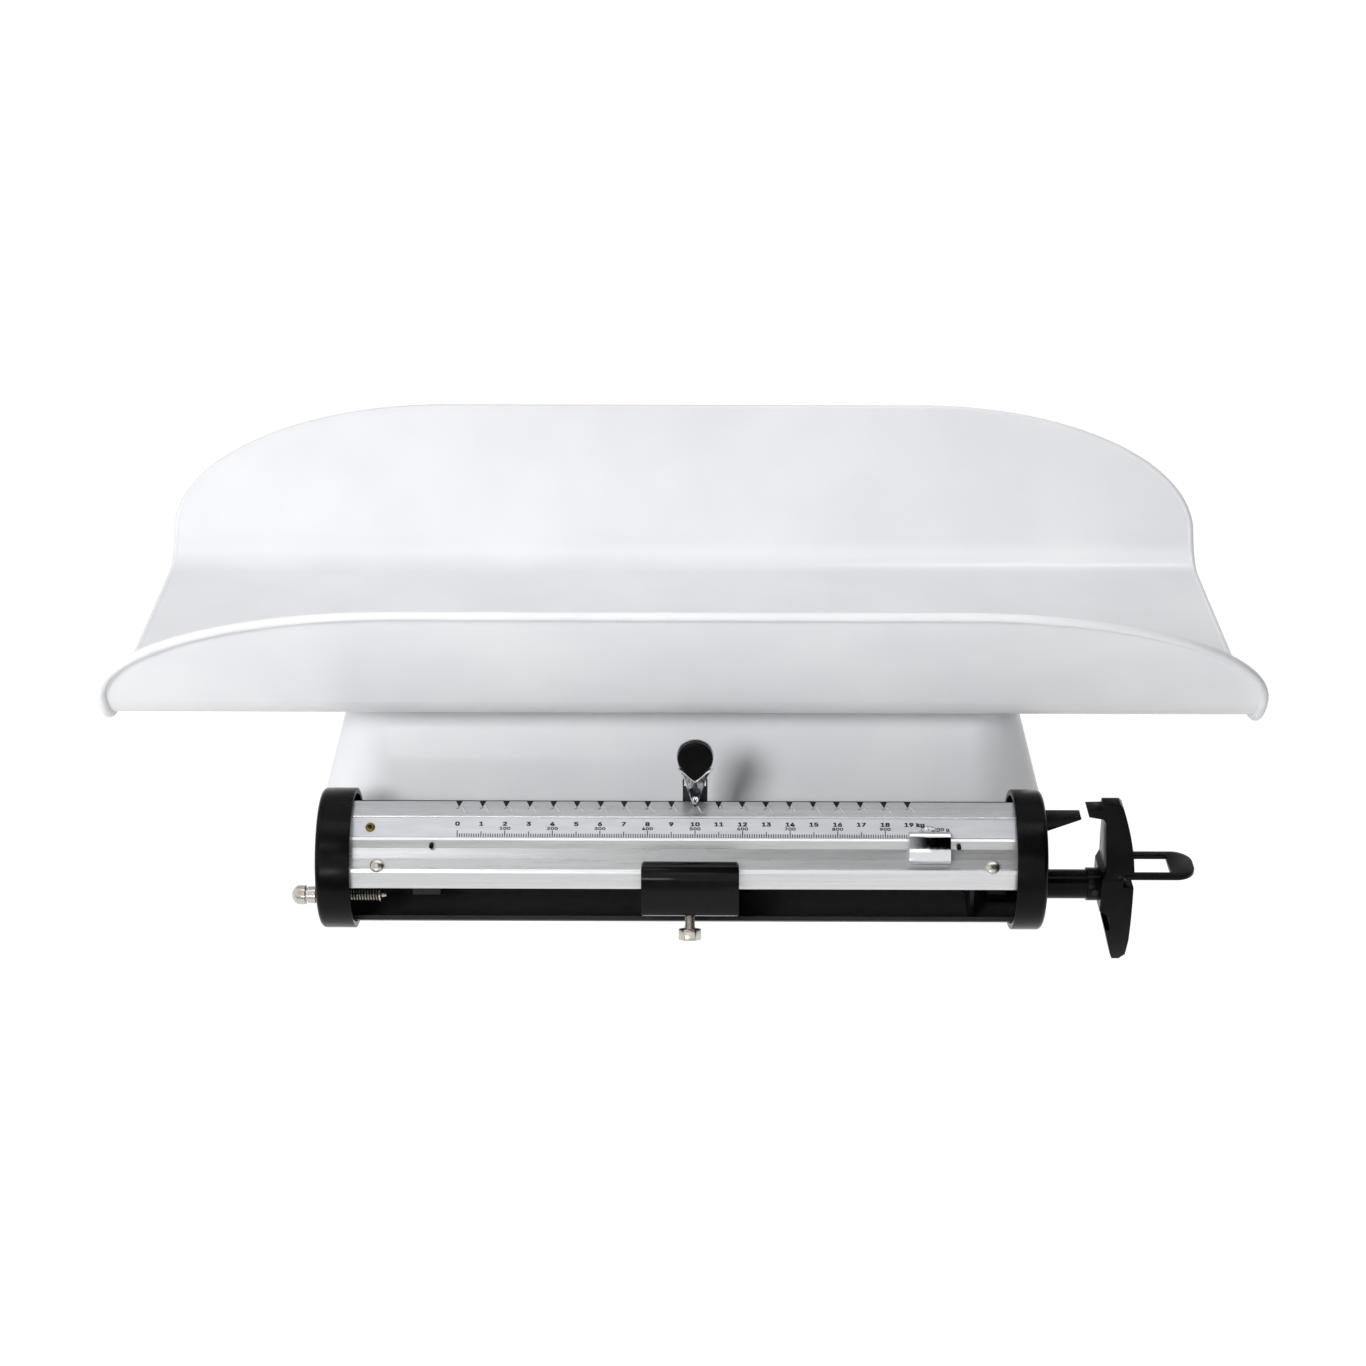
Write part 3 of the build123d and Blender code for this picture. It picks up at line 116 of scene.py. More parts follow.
# The gram poise's section, a saddle with a curved front, half its length and its rounding; and
# its tongue over the label, with how far its two faces stand out
GRAM_FRONT = ((-17.3, 24.4), (-18.6, 24.9), (-19.9, 24.6), (-21.2, 23.6), (-22.6, 22.0))
GRAM_FRONT += ((-23.9, 20.2), (-25.1, 18.2), (-26.1, 16.2), (-26.8, 14.3), (-27.0, 13.2))
GRAM_BACK = ((-26.5, 12.5), (-25.6, 12.3), (-24.2, 13.4), (-21.3, 16.9), (-20.6, 20.9))
GRAM_BACK += ((-19.3, 22.2), (-17.0, 23.8))
GRAM_HALF = 9.65
GRAM_ROUNDING = (1.2, 0.5)
TONGUE = ((-6.4, -3.4), (6.4, -3.4), (5.8, -2.2), (2.4, 0.5))
TONGUE += ((1.2, 0.9), (-1.2, 0.9), (-2.4, 0.5), (-5.8, -2.2))
TONGUE_OUT = (0.45, 1.3)

# The latch's folded sheet: its rim and its crease from the knob down, as (across, up), and its
# bright upper edge from the left cheek to the middle, with the radii at its tip and along it
WING_RIM = ((7.3, 49.2), (5.2, 45.0), (4.1, 40.7), (2.4, 35.2), (1.1, 31.8))
WING_CREASE = ((0.0, 46.5), (0.0, 43.6), (0.0, 39.5), (0.0, 34.8), (0.0, 31.6))
UPPER_EDGE = [(-8.1, 50.8), (-6.9, 50.0), (-4.8, 48.3), (-2.9, 46.3), (-1.3, 44.9), (0.0, 43.9)]
EDGE_RADII = (0.25, 0.6)
KNOB_UP = 60.0

# A black strip of painted shade behind the notches, in degrees round the tube's axis; the flange's
# front bead with its radius, the flange's rear edge with its fall, and each notch's two burrs:
# path, half width and height
NOTCH_SHADE_TURNS = (27.5, 37.0)
FLANGE_BEAD = (-9.75, 27.65, 0.6)
FLANGE_REAR = (0.51, 30.36)
FLANGE_SLOPE = (2.43, 9.81)
NOTCH_RIDGES = (
    (((1.1, 2.4), (1.6, 3.6), (2.3, 5.2), (3.3, 7.6)), 0.45, 0.4),
    (((0.3, 4.2), (-0.5, 4.9), (-1.5, 5.7)), 0.4, 0.35),
)

# The screws' threads along their axes, and the thumb screw's hexagon: its radius and height
ZERO_THREAD = {"from": -172.6, "to": -142.0, "radius": 2.98, "pitch": 1.3, "depth": 0.85}
TARE_THREAD = {"from": -5.4, "to": 7.5, "radius": 2.48, "pitch": 0.8, "depth": 0.45}
TARE_HEAD = 5.4

# The studio, in metres: softboxes (name, place, aim, size, power setting, seen in gloss), and
# cards that only reflections see (name, place, aim, size, brightness left and right, its reach)
WHITE = (1, 1, 1, 1)
BEAM = (0.0, -0.11, 0.06)
LEFT = (-0.16, -0.11, 0.06)
RIGHT = (0.16, -0.11, 0.06)
LAMPS = (
    ("overhead_softbox", (0.1, -0.2, 1.7), (0.0, 0.0, 0.1), (1.5, 1.1), "key_power", True),
    ("key_softbox", (-0.62, -1.45, 0.95), (0.0, -0.07, 0.08), (0.4, 0.4), "side_power", False),
    ("left_softbox", (-1.9, -0.5, 0.8), (0.0, 0.0, 0.1), (1.0, 1.0), "left_power", False),
)
CARDS = (
    ("front_card", (0.0, -1.05, 1.4), BEAM, (2.6, 1.4), 0.62, 0.0, (-0.4, 0.2)),
    ("floor_card", (0.0, -0.95, 0.002), (0.0, -0.95, 1.0), (2.6, 1.4), 0.66, 0.12, (-0.3, 0.36)),
    ("centre_strip", (0.0, -1.42, 0.82), BEAM, (0.5, 0.14), 1.9, 1.9),
    ("left_upper_strip", (-0.36, -0.98, 1.05), LEFT, (0.4, 0.09), 5.0, 5.0),
    ("left_lower_strip", (-0.36, -1.5, 0.22), LEFT, (0.4, 0.12), 13.0, 13.0),
    ("right_upper_strip", (0.36, -0.22, 1.4), RIGHT, (0.4, 0.12), 3.0, 3.0),
    ("right_back_strip", (0.36, 0.7, 1.2), RIGHT, (0.4, 0.12), 13.0, 13.0),
)
# The camera's place and turns, from the fit to the photo's outline
CAMERA_LENS = 70.61
CAMERA_PLACE = (0.0036, -1.21999, 0.6888)
CAMERA_TURNS = ((0.16, "Z"), (90.0 - 25.98, "X"), (0.09, "Z"))


# Colour and node helpers


def linear(hex_colour):
    """Turn an sRGB hex colour into Blender's linear one."""
    parts = [int(hex_colour[i : i + 2], 16) / 255 for i in (1, 3, 5)]
    return [p / 12.92 if p <= 0.04045 else ((p + 0.055) / 1.055) ** 2.4 for p in parts] + [1.0]


def add_node(tree, kind, settings=None, inputs=None, links=None):
    """Add one node, with its properties, its input values and its incoming links."""
    node = tree.nodes.new(kind)
    for name, value in (settings or {}).items():
        setattr(node, name, value)
    for name, value in (inputs or {}).items():
        node.inputs[name].default_value = value
    for name, socket in (links or {}).items():
        tree.links.new(socket, node.inputs[name])
    return node


def bare_tree(owner, output="ShaderNodeOutputMaterial"):
    """Empty the node tree of a material or world, and start it again with an output."""
    owner.use_nodes = True
    owner.node_tree.nodes.clear()
    return owner.node_tree, add_node(owner.node_tree, output)


def new_material(name, colour, metallic, roughness, ior=None):
    """Start a material with one shader and object coordinates."""
    material = bpy.data.materials.new(name)
    tree, output = bare_tree(material)
    values = {"Base Color": linear(colour), "Metallic": metallic, "Roughness": roughness}
    if ior:
        values["IOR"] = ior
    shader = add_node(tree, "ShaderNodeBsdfPrincipled", inputs=values)
    tree.links.new(shader.outputs["BSDF"], output.inputs["Surface"])
    place = add_node(tree, "ShaderNodeTexCoord")
    return material, tree, shader, place.outputs["Object"]


def grain(tree, place, size_mm, stretch=(1.0, 1.0, 1.0), detail=2.0):
    """A noise whose grains have a real size in millimetres, drawn out along the axes."""
    scale = tuple(1.0 / (size_mm * MM * s) for s in stretch)
    mapped = add_node(tree, "ShaderNodeMapping", inputs={"Scale": scale}, links={"Vector": place})
    return add_node(
        tree,
        "ShaderNodeTexNoise",
        inputs={"Scale": 1.0, "Detail": detail, "Roughness": 0.5},
        links={"Vector": mapped.outputs["Vector"]},
    ).outputs["Fac"]


def spread(tree, shader, value, low, high):
    """Let the roughness run from low to high with a noise's 0.3 to 0.7."""
    node = add_node(
        tree,
        "ShaderNodeMapRange",
        inputs={"From Min": 0.3, "From Max": 0.7, "To Min": low, "To Max": high},
        links={"Value": value},
    )
    tree.links.new(node.outputs["Result"], shader.inputs["Roughness"])


def tint(tree, shader, value, dark, light):
    """Colour the surface between two near colours, by a noise."""
    ramp = add_node(tree, "ShaderNodeValToRGB", links={"Fac": value})
    for element, position, colour in zip(ramp.color_ramp.elements, (0.35, 0.65), (dark, light)):
        element.position = position
        element.color = linear(colour)
    tree.links.new(ramp.outputs["Color"], shader.inputs["Base Color"])


def reflect(shader, level):
    """Set how much a surface mirrors, against 0.5 for plain plastic."""
    shader.inputs["Specular IOR Level"].default_value = level


def bump(tree, shader, height, depth_mm):
    """Raise the surface by a noise, to a real depth."""
    node = add_node(
        tree,
        "ShaderNodeBump",
        inputs={"Strength": 1.0, "Distance": depth_mm * MM},
        links={"Height": height},
    )
    tree.links.new(node.outputs["Normal"], shader.inputs["Normal"])


# Materials, each named for the real one


def white_enamel():
    # Powder-coated steel sheet, baked glossy: clean soft highlights with a slow orange-peel waver
    material, tree, shader, place = new_material("white_powder_coat", "#F0F2F4", 0.0, 0.4, 1.5)
    shader.inputs["Coat Weight"].default_value = 0.3
    shader.inputs["Coat Roughness"].default_value = 0.22
    peel = grain(tree, place, 2.2, detail=1.0)
    slow = grain(tree, place, 60.0)
    tint(tree, shader, slow, "#EEEFF2", "#F4F5F7")
    spread(tree, shader, slow, 0.36, 0.44)
    bump(tree, shader, peel, 0.004)
    return material


def black_abs():
    # Injection-moulded ABS, lightly textured tool: deep black with broad grey highlights
    material, tree, shader, place = new_material("black_abs", "#080809", 0.0, 0.24, 1.5)
    spark = grain(tree, place, 0.45)
    cloud = grain(tree, place, 9.0)
    tint(tree, shader, cloud, "#060607", "#0B0B0C")
    spread(tree, shader, cloud, 0.2, 0.28)
    reflect(shader, 0.1)
    bump(tree, shader, spark, 0.003)
    return material


def black_bakelite():
    # Pressed phenolic, the tare block: black, glossier than the mouldings
    material, tree, shader, place = new_material("black_phenolic", "#0A0A0B", 0.0, 0.13, 1.5)
    cloud = grain(tree, place, 6.0)
    tint(tree, shader, cloud, "#080809", "#0D0D0E")
    spread(tree, shader, cloud, 0.11, 0.16)
    reflect(shader, 0.16)
    return material


def black_enamel():
    # Stove-enamelled steel tube: black with a satin sheen and a trace of dust
    material, tree, shader, place = new_material("black_stove_enamel", "#2A2A2B", 0.0, 0.5, 1.5)
    dust = grain(tree, place, 4.0)
    tint(tree, shader, dust, "#272728", "#2D2D2E")
    spread(tree, shader, dust, 0.45, 0.55)
    reflect(shader, 0.25)
    bump(tree, shader, grain(tree, place, 0.8), 0.002)
    return material


def drawn_aluminium():
    # Extruded aluminium, brushed and clear-anodised: streaks along the beam, coarse enough to show
    material, tree, shader, place = new_material("brushed_aluminium", "#DADBDC", 0.82, 0.3)
    streak = grain(tree, place, 0.35, (90.0, 1.0, 1.0), 3.0)
    wide = grain(tree, place, 1.4, (60.0, 1.0, 1.0))
    tint(tree, shader, wide, "#D6D7D8", "#DEDFE0")
    spread(tree, shader, streak, 0.26, 0.36)
    bump(tree, shader, streak, 0.003)
    return material


def label_foil():
    # Printed aluminium foil with a matt lacquer: pale silver-grey, nearly even
    material, tree, shader, place = new_material("lacquered_foil", "#DDE0E4", 0.25, 0.45, 1.5)
    haze = grain(tree, place, 3.0, (8.0, 1.0, 1.0))
    tint(tree, shader, haze, "#C8CACF", "#D1D3D8")
    spread(tree, shader, haze, 0.4, 0.5)
    return material


def printing_ink():
    # Screen-printed ink: flat black with soft uneven cover
    material, tree, shader, place = new_material("screen_print_ink", "#0E0E10", 0.0, 0.55, 1.5)
    cover = grain(tree, place, 0.3)
    tint(tree, shader, cover, "#0B0B0D", "#141416")
    return material


def chrome():
    # Nickel-chrome plate, polished: a mirror with faint polishing waves
    material, tree, shader, place = new_material("bright_chrome", "#DADCDF", 1.0, 0.07)
    wave = grain(tree, place, 1.6)
    spread(tree, shader, wave, 0.05, 0.12)
    bump(tree, shader, wave, 0.006)
    return material


def shaded_chrome():
    # Chrome with painted shade: darker, to paint the black knob's reflection in the latch's fold
    # and the shade on the gram poise's tongue; still polished
    material, tree, shader, place = new_material("folded_chrome", "#77797D", 1.0, 0.12)
    wave = grain(tree, place, 0.9, (1.0, 1.0, 3.0))
    tint(tree, shader, wave, "#5A5C60", "#B4B6BA")
    spread(tree, shader, wave, 0.08, 0.2)
    return material


def nickel():
    # Nickel-plated steel, turned: warm grey with fine turning marks
    material, tree, shader, place = new_material("nickel_plate", "#C9C4BA", 1.0, 0.24)
    mark = grain(tree, place, 0.3)
    tint(tree, shader, mark, "#BDB8AE", "#D2CEC5")
    spread(tree, shader, mark, 0.18, 0.34)
    bump(tree, shader, mark, 0.006)
    return material


def dirty_groove():
    # Painted shade at the bottom of a screw thread's grooves: dark and dull
    material, tree, shader, place = new_material("oiled_thread_groove", "#2B2A28", 0.5, 0.6)
    tint(tree, shader, grain(tree, place, 0.5), "#22211F", "#373532")
    return material


def ground_steel():
    # Hardened steel, ground on its faces: cool grey with short grinding lines
    material, tree, shader, place = new_material("ground_steel", "#9A9C9F", 1.0, 0.36)
    line = grain(tree, place, 0.25, (1.0, 12.0, 1.0))
    tint(tree, shader, line, "#8E9093", "#A5A7AA")
    spread(tree, shader, line, 0.3, 0.48)
    bump(tree, shader, line, 0.008)
    return material


def blued_steel():
    # Hardened steel left blued, on the parts that stay out of sight: near black with a satin sheen
    material, tree, shader, place = new_material("blued_steel", "#232426", 0.7, 0.42)
    cloud = grain(tree, place, 2.0)
    tint(tree, shader, cloud, "#1E1F21", "#292A2D")
    spread(tree, shader, cloud, 0.38, 0.5)
    return material


def polished_edge():
    # The extrusion's own edges, polished by the die: brighter than the brushed faces
    material, tree, shader, place = new_material("polished_aluminium_edge", "#E4E6E8", 0.75, 0.22)
    rub = grain(tree, place, 1.1, (12.0, 1.0, 1.0))
    spread(tree, shader, rub, 0.18, 0.3)
    return material


def zinc_plate():
    # Zinc-plated sheet steel: pale grey with a faint spangle
    material, tree, shader, place = new_material("zinc_plated_sheet", "#A9ADB1", 1.0, 0.38)
    spangle = grain(tree, place, 7.0)
    tint(tree, shader, spangle, "#9EA2A7", "#B3B7BA")
    spread(tree, shader, spangle, 0.32, 0.48)
    return material


def grey_paint():
    # Air-dried machine paint on a steel frame: mid grey, satin
    material, tree, shader, place = new_material("grey_machine_paint", "#8B9094", 0.0, 0.45, 1.5)
    dust = grain(tree, place, 5.0)
    tint(tree, shader, dust, "#858A8E", "#92979B")
    bump(tree, shader, grain(tree, place, 0.9), 0.01)
    return material


def cast_iron():
    # Sand-cast iron with a dark wash: rough and dull
    material, tree, shader, place = new_material("sand_cast_iron", "#303234", 0.3, 0.7)
    sand = grain(tree, place, 0.8, detail=4.0)
    tint(tree, shader, sand, "#292B2D", "#3A3C3E")
    bump(tree, shader, sand, 0.06)
    return material


def rubber():
    # Moulded rubber: near black, matt, with a faint bloom
    material, tree, shader, place = new_material("moulded_rubber", "#191A1B", 0.0, 0.75, 1.52)
    bloom = grain(tree, place, 2.5)
    tint(tree, shader, bloom, "#161717", "#222324")
    bump(tree, shader, grain(tree, place, 0.5), 0.02)
    return material


def brass():
    # Drawn brass eyelet: dull gold, slightly tarnished
    material, tree, shader, place = new_material("drawn_brass", "#86713F", 1.0, 0.3)
    tarnish = grain(tree, place, 0.8)
    tint(tree, shader, tarnish, "#6E5C30", "#97824C")
    return material


def dark_brass():
    # Painted shade for the eyelet's hollow: a nearly black disc in its bore
    material, tree, shader, place = new_material("tarnished_bore", "#1E1A12", 0.6, 0.5)
    tint(tree, shader, grain(tree, place, 0.6), "#17130D", "#262117")
    return material


MAKERS = {
    "white_enamel": white_enamel,
    "grey_paint": grey_paint,
    "black_paint": black_enamel,
    "zinc_sheet": zinc_plate,
    "nickel": nickel,
    "hard_steel": ground_steel,
    "cast_iron": cast_iron,
    "rubber": rubber,
    "brushed_aluminium": drawn_aluminium,
    "label_foil": label_foil,
    "brass": brass,
    "black_plastic": black_abs,
    "chrome": chrome,
    "folded_chrome": shaded_chrome,
    "ink": printing_ink,
    "eyelet_bore": dark_brass,
    "blued_steel": blued_steel,
    "black_bakelite": black_bakelite,
    "dirty_groove": dirty_groove,
    "polished_edge": polished_edge,
}
# Steel parts inside the beam and at the index that are blued, not bright
BLUED = ("fulcrum_knife", "load_knife", "lock_plate", "fulcrum_bearings", "kg_weight")
BLUED += ("lock_rod", "lock_pin", "bow_clamp_screw", "beam_link", "guide_rod")
# Painted steel beside the black mouldings, which it matches in gloss
GLOSS_BLACK = ("fixed_bar", "bar_stand")
# The part's own slot that an extra finish belongs to
finishes = {}


def finish_of(name):
    """The material of a slot, made once."""
    if name not in finishes:
        finishes[name] = MAKERS[name]()
    return finishes[name]


# Mesh helpers


def body_of(node):
    """The body that a solid belongs to."""
    bodies = frame["record"]["behaviour"]["bodies"]
    return next(name for name, nodes in bodies.items() if node in nodes)


def linked(name, data):
    """A new object that is in the scene."""
    thing = bpy.data.objects.new(name, data)
    bpy.context.scene.collection.objects.link(thing)
    return thing


def keep_piece(name, mesh, body, slot, replaces=()):
    """Put a finished mesh in the scene as one piece that rides on a body."""
    mesh.name = name
    piece = linked(name, mesh)
    if not mesh.materials:
        mesh.materials.append(finish_of(slot))
    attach(piece, body)
    if replaces:
        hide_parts(*replaces)


def on_beam(x, back, up):
    """A point at x, and back and up from the tube's axis, all in millimetres."""
    return Vector((x, BEAM_Y + back, BEAM_Z + up)) * MM


def shade_smooth(mesh, degrees=35.0):
    """Smooth the faces, and keep the edges sharp where they turn more than the angle."""
    mesh.polygons.foreach_set("use_smooth", [True] * len(mesh.polygons))
    mesh.set_sharp_from_angle(angle=math.radians(degrees))
    return mesh


def mesh_from(bm, recalculate=True):
    """End a bmesh, with its doubles merged and its faces outwards."""
    bmesh.ops.remove_doubles(bm, verts=bm.verts, dist=1e-7)
    if recalculate:
        bmesh.ops.recalc_face_normals(bm, faces=bm.faces)
    mesh = bpy.data.meshes.new("made")
    bm.to_mesh(mesh)
    bm.free()
    return mesh


def plain_copy(helper):
    """The mesh that an object's modifiers give; the object itself is removed."""
    bpy.context.view_layer.update()
    evaluated = helper.evaluated_get(bpy.context.evaluated_depsgraph_get())
    mesh = bpy.data.meshes.new_from_object(evaluated)
    helper.modifiers.clear()
    bpy.data.objects.remove(helper)
    return mesh


def round_edges(bm, edges, width, segments=3):
    """Round edges of a bmesh, to a width in its own unit."""
    bmesh.ops.bevel(
        bm,
        geom=edges,
        offset=width,
        segments=segments,
        profile=0.5,
        affect="EDGES",
        clamp_overlap=True,
    )


def softened(mesh, width_mm, segments=3, degrees=25.0):
    """A mesh's copy with its flat faces whole again and its sharp outer edges rounded."""
    bm = bmesh.new()
    bm.from_mesh(mesh)
    bmesh.ops.remove_doubles(bm, verts=bm.verts, dist=MERGE_GAP)
    bmesh.ops.dissolve_limit(bm, angle_limit=FLAT_TURN, verts=bm.verts, edges=bm.edges)
    sharp = math.radians(degrees)
    edges = [e for e in bm.edges if e.is_convex and e.calc_face_angle(0.0) > sharp]
    round_edges(bm, edges, width_mm * MM, segments)
    return shade_smooth(mesh_from(bm))


def rounded_front(form, corner_mm, width_mm):
    """A form with its corners rounded in the front view, and then its edges."""
    spots = [tuple(v.co) for v in form.vertices]
    low, high = (Vector([pick(axis) for axis in zip(*spots)]) for pick in (min, max))
    bm = bmesh.new()
    bmesh.ops.create_cube(bm, size=1.0)
    bmesh.ops.scale(bm, vec=high - low + Vector((0.0, 4 * MM, 0.0)), verts=bm.verts)
    bmesh.ops.translate(bm, vec=(low + high) / 2, verts=bm.verts)
    inward = [e for e in bm.edges if abs((e.verts[0].co - e.verts[1].co).normalized().y) > 0.9]
    round_edges(bm, inward, corner_mm * MM, 6)
    prism = linked("prism", mesh_from(bm))
    helper = linked("helper", form)
    modifier = helper.modifiers.new("cut", "BOOLEAN")
    modifier.operation = "INTERSECT"
    modifier.object = prism
    cut = plain_copy(helper)
    bpy.data.objects.remove(prism)
    return softened(cut, width_mm, degrees=20.0)


def bridge(bm, rings, ends=(0, -1)):
    """Face the stretches between rings of vertices, and close the given ends."""
    count = len(rings[0])
    for low, high in zip(rings, rings[1:]):
        for k in range(count):
            after = (k + 1) % count
            bm.faces.new((low[k], low[after], high[after], high[k]))
    for end in ends:
        bm.faces.new(rings[end])


def swept(section, start, end):
    """A closed section in the beam's plane, as (back, up) in millimetres, drawn along X."""
    bm = bmesh.new()
    bridge(bm, [[bm.verts.new(on_beam(x, *spot)) for spot in section] for x in (start, end)])
    return mesh_from(bm)


def turned(profile, matrix, thread=None):
    """A turned form: radii along an axis, with a screw thread cut into a stretch of it."""
    bm = bmesh.new()
    rings = []
    for along, radius in profile:
        ring = []
        for step in range(TURN_STEPS):
            angle = 2 * math.pi * step / TURN_STEPS
            cut = 0.0
            if thread and thread["from"] <= along <= thread["to"]:
                pitch = thread["pitch"]
                phase = (along / pitch - step / TURN_STEPS) % 1.0
                fade = min(1.0, (along - thread["from"]) / pitch, (thread["to"] - along) / pitch)
                cut = thread["depth"] * abs(2 * phase - 1.0) * max(0.0, fade)
            reach = max(radius - cut, 0.0)
            ring.append(bm.verts.new((reach * math.cos(angle), reach * math.sin(angle), along)))
        rings.append(ring)
    bridge(bm, rings, [end for end in (0, -1) if profile[end][1] > 0])
    bmesh.ops.scale(bm, vec=(MM, MM, MM), verts=bm.verts)
    bm.transform(matrix)
    return shade_smooth(mesh_from(bm), 30.0)


def threaded(thread):
    """The stations of a threaded stretch, close enough to draw its flanks."""
    start, run = thread["from"], thread["to"] - thread["from"]
    count = int(run / thread["pitch"] * 10)
    return [(start + run * k / count, thread["radius"]) for k in range(count + 1)]


def label_matrix(x, up=0.0, out=0.0):
    """A place on the label: x along the beam, up its slope and out of its face, in millimetres."""
    y = BEAM_Y + LABEL_MIDDLE[0] + up * LABEL_UP[0] + out * LABEL_OUT[0]
    z = BEAM_Z + LABEL_MIDDLE[1] + up * LABEL_UP[1] + out * LABEL_OUT[1]
    axes = Matrix(((1, 0, 0), (0, LABEL_UP[0], LABEL_OUT[0]), (0, LABEL_UP[1], LABEL_OUT[1])))
    return Matrix.Translation(Vector((x, y, z)) * MM) @ axes.to_4x4()


def joined(meshes):
    """Join plain meshes into one."""
    bm = bmesh.new()
    for mesh in meshes:
        bm.from_mesh(mesh)
    mesh = bpy.data.meshes.new("joined")
    bm.to_mesh(mesh)
    bm.free()
    return mesh


# Geometry Nodes helpers

ROW_INPUTS = (
    ("Count", "NodeSocketInt", 5),
    ("Pitch", "NodeSocketFloat", 0.01),
    ("Start", "NodeSocketFloat", 0.0),
)
TICK_INPUTS = (
    ("Length", "NodeSocketFloat", 0.001),
    ("Width", "NodeSocketFloat", 0.0002),
    ("Thickness", "NodeSocketFloat", 0.00002),
)


def geometry_tree(name, sizes):
    """Start a tree with named size inputs, and return it with its input and output nodes."""
    tree = bpy.data.node_groups.new(name, "GeometryNodeTree")
    tree.interface.new_socket("Geometry", in_out="INPUT", socket_type="NodeSocketGeometry")
    for label, kind, value in sizes:
        socket = tree.interface.new_socket(label, in_out="INPUT", socket_type=kind)
        socket.default_value = value
    tree.interface.new_socket("Geometry", in_out="OUTPUT", socket_type="NodeSocketGeometry")
    return tree, add_node(tree, "NodeGroupInput"), add_node(tree, "NodeGroupOutput")


def bake_tree(tree, values, given=None):
    """Run a tree with its inputs set by identifier, and return the plain mesh."""
    helper = linked("helper", given or bpy.data.meshes.new("helper"))
    modifier = helper.modifiers.new("nodes", "NODES")
    modifier.node_group = tree
    for item in tree.interface.items_tree:
        if item.item_type == "SOCKET" and item.in_out == "INPUT" and item.name in values:
            modifier[item.identifier] = values[item.name]
    return plain_copy(helper)


def end_in_row(tree, given, result, form, start, material):
    """End a tree: its form on a row of points along X, made real and given its material."""
    step = add_node(tree, "ShaderNodeCombineXYZ", links={"X": given.outputs["Pitch"]}).outputs[0]
    line = {"Count": given.outputs["Count"], "Offset": step, "Start Location": start.outputs[0]}
    row = add_node(tree, "GeometryNodeMeshLine", links=line)
    copies = {"Points": row.outputs["Mesh"], "Instance": form}
    placed = add_node(tree, "GeometryNodeInstanceOnPoints", links=copies).outputs["Instances"]
    real = add_node(tree, "GeometryNodeRealizeInstances", links={"Geometry": placed})
    whole = {"Geometry": real.outputs["Geometry"]}
    faced = add_node(tree, "GeometryNodeSetMaterial", inputs={"Material": material}, links=whole)
    tree.links.new(faced.outputs["Geometry"], result.inputs["Geometry"])
    return tree


def row_tree(material):
    """The given form, repeated evenly along X."""
    tree, given, result = geometry_tree("form_row", ROW_INPUTS)
    start = add_node(tree, "ShaderNodeCombineXYZ", links={"X": given.outputs["Start"]})
    return end_in_row(tree, given, result, given.outputs["Geometry"], start, material)


def tick_tree(material):
    """A row of printed strokes, evenly spaced along X, with their feet on one line."""
    tree, given, result = geometry_tree("tick_row", ROW_INPUTS + TICK_INPUTS)
    half = add_node(
        tree, "ShaderNodeMath", {"operation": "MULTIPLY"}, {1: 0.5}, {0: given.outputs["Length"]}
    )
    corner = {"X": given.outputs["Start"], "Y": half.outputs["Value"]}
    start = add_node(tree, "ShaderNodeCombineXYZ", links=corner)
    sides = zip("XYZ", ("Width", "Length", "Thickness"))
    size = add_node(
        tree, "ShaderNodeCombineXYZ", links={axis: given.outputs[name] for axis, name in sides}
    )
    stroke = add_node(tree, "GeometryNodeMeshCube", links={"Size": size.outputs[0]})
    return end_in_row(tree, given, result, stroke.outputs["Mesh"], start, material)


# Sizes that a user would change


class PrintSettings(bpy.types.PropertyGroup):
    """The print on the label."""

    kilogram_height: bpy.props.FloatProperty(
        name="Kilogram numbers",
        description="Height of the kilogram numbers",
        default=0.0026,
        unit="LENGTH",
    )
    gram_height: bpy.props.FloatProperty(
        name="Gram numbers", description="Height of the gram numbers", default=0.0019, unit="LENGTH"
    )
    tick_width: bpy.props.FloatProperty(
        name="Tick width", description="Width of a printed tick", default=0.00043, unit="LENGTH"
    )
    short_tick: bpy.props.FloatProperty(
        name="Short tick", description="Length of a short tick", default=0.0017, unit="LENGTH"
    )
    long_tick: bpy.props.FloatProperty(
        name="Long tick", description="Length of a kilogram's tick", default=0.0028, unit="LENGTH"
    )


class StudioSettings(bpy.types.PropertyGroup):
    """The studio round the scale."""

    key_power: bpy.props.FloatProperty(
        name="Key power", description="Power of the overhead softbox", default=6.0, unit="POWER"
    )
    side_power: bpy.props.FloatProperty(
        name="Side power", description="Power of the front left softbox", default=16.3, unit="POWER"
    )
    left_power: bpy.props.FloatProperty(
        name="Left power", description="Power of the far left softbox", default=4.0, unit="POWER"
    )
    fill: bpy.props.FloatProperty(
        name="Fill", description="Strength of the even light", default=0.34, min=0.0, max=2.0
    )
    paper: bpy.props.FloatVectorProperty(
        name="Paper", description="Floor's colour", default=(0.9, 0.9, 0.9), subtype="COLOR", size=3
    )


# Operators, one for each piece or group of like pieces


class SCALE_OT_finishes(bpy.types.Operator):
    """Give every solid its real finish"""

    bl_idname = "scale.finishes"
    bl_label = "Finish the solids"

    def execute(self, context):
        slots = {s["node"]: s["material_slot"] for s in frame["record"]["subparts"]}
        slots.update(dict.fromkeys(BLUED, "blued_steel"))
        slots.update(dict.fromkeys(GLOSS_BLACK, "black_plastic"))
        for node, piece in frame["nodes"].items():
            if not piece.data.materials:
                piece.data.materials.append(None)
            for slot in piece.material_slots:
                slot.material = finish_of(slots[node])
        return {"FINISHED"}


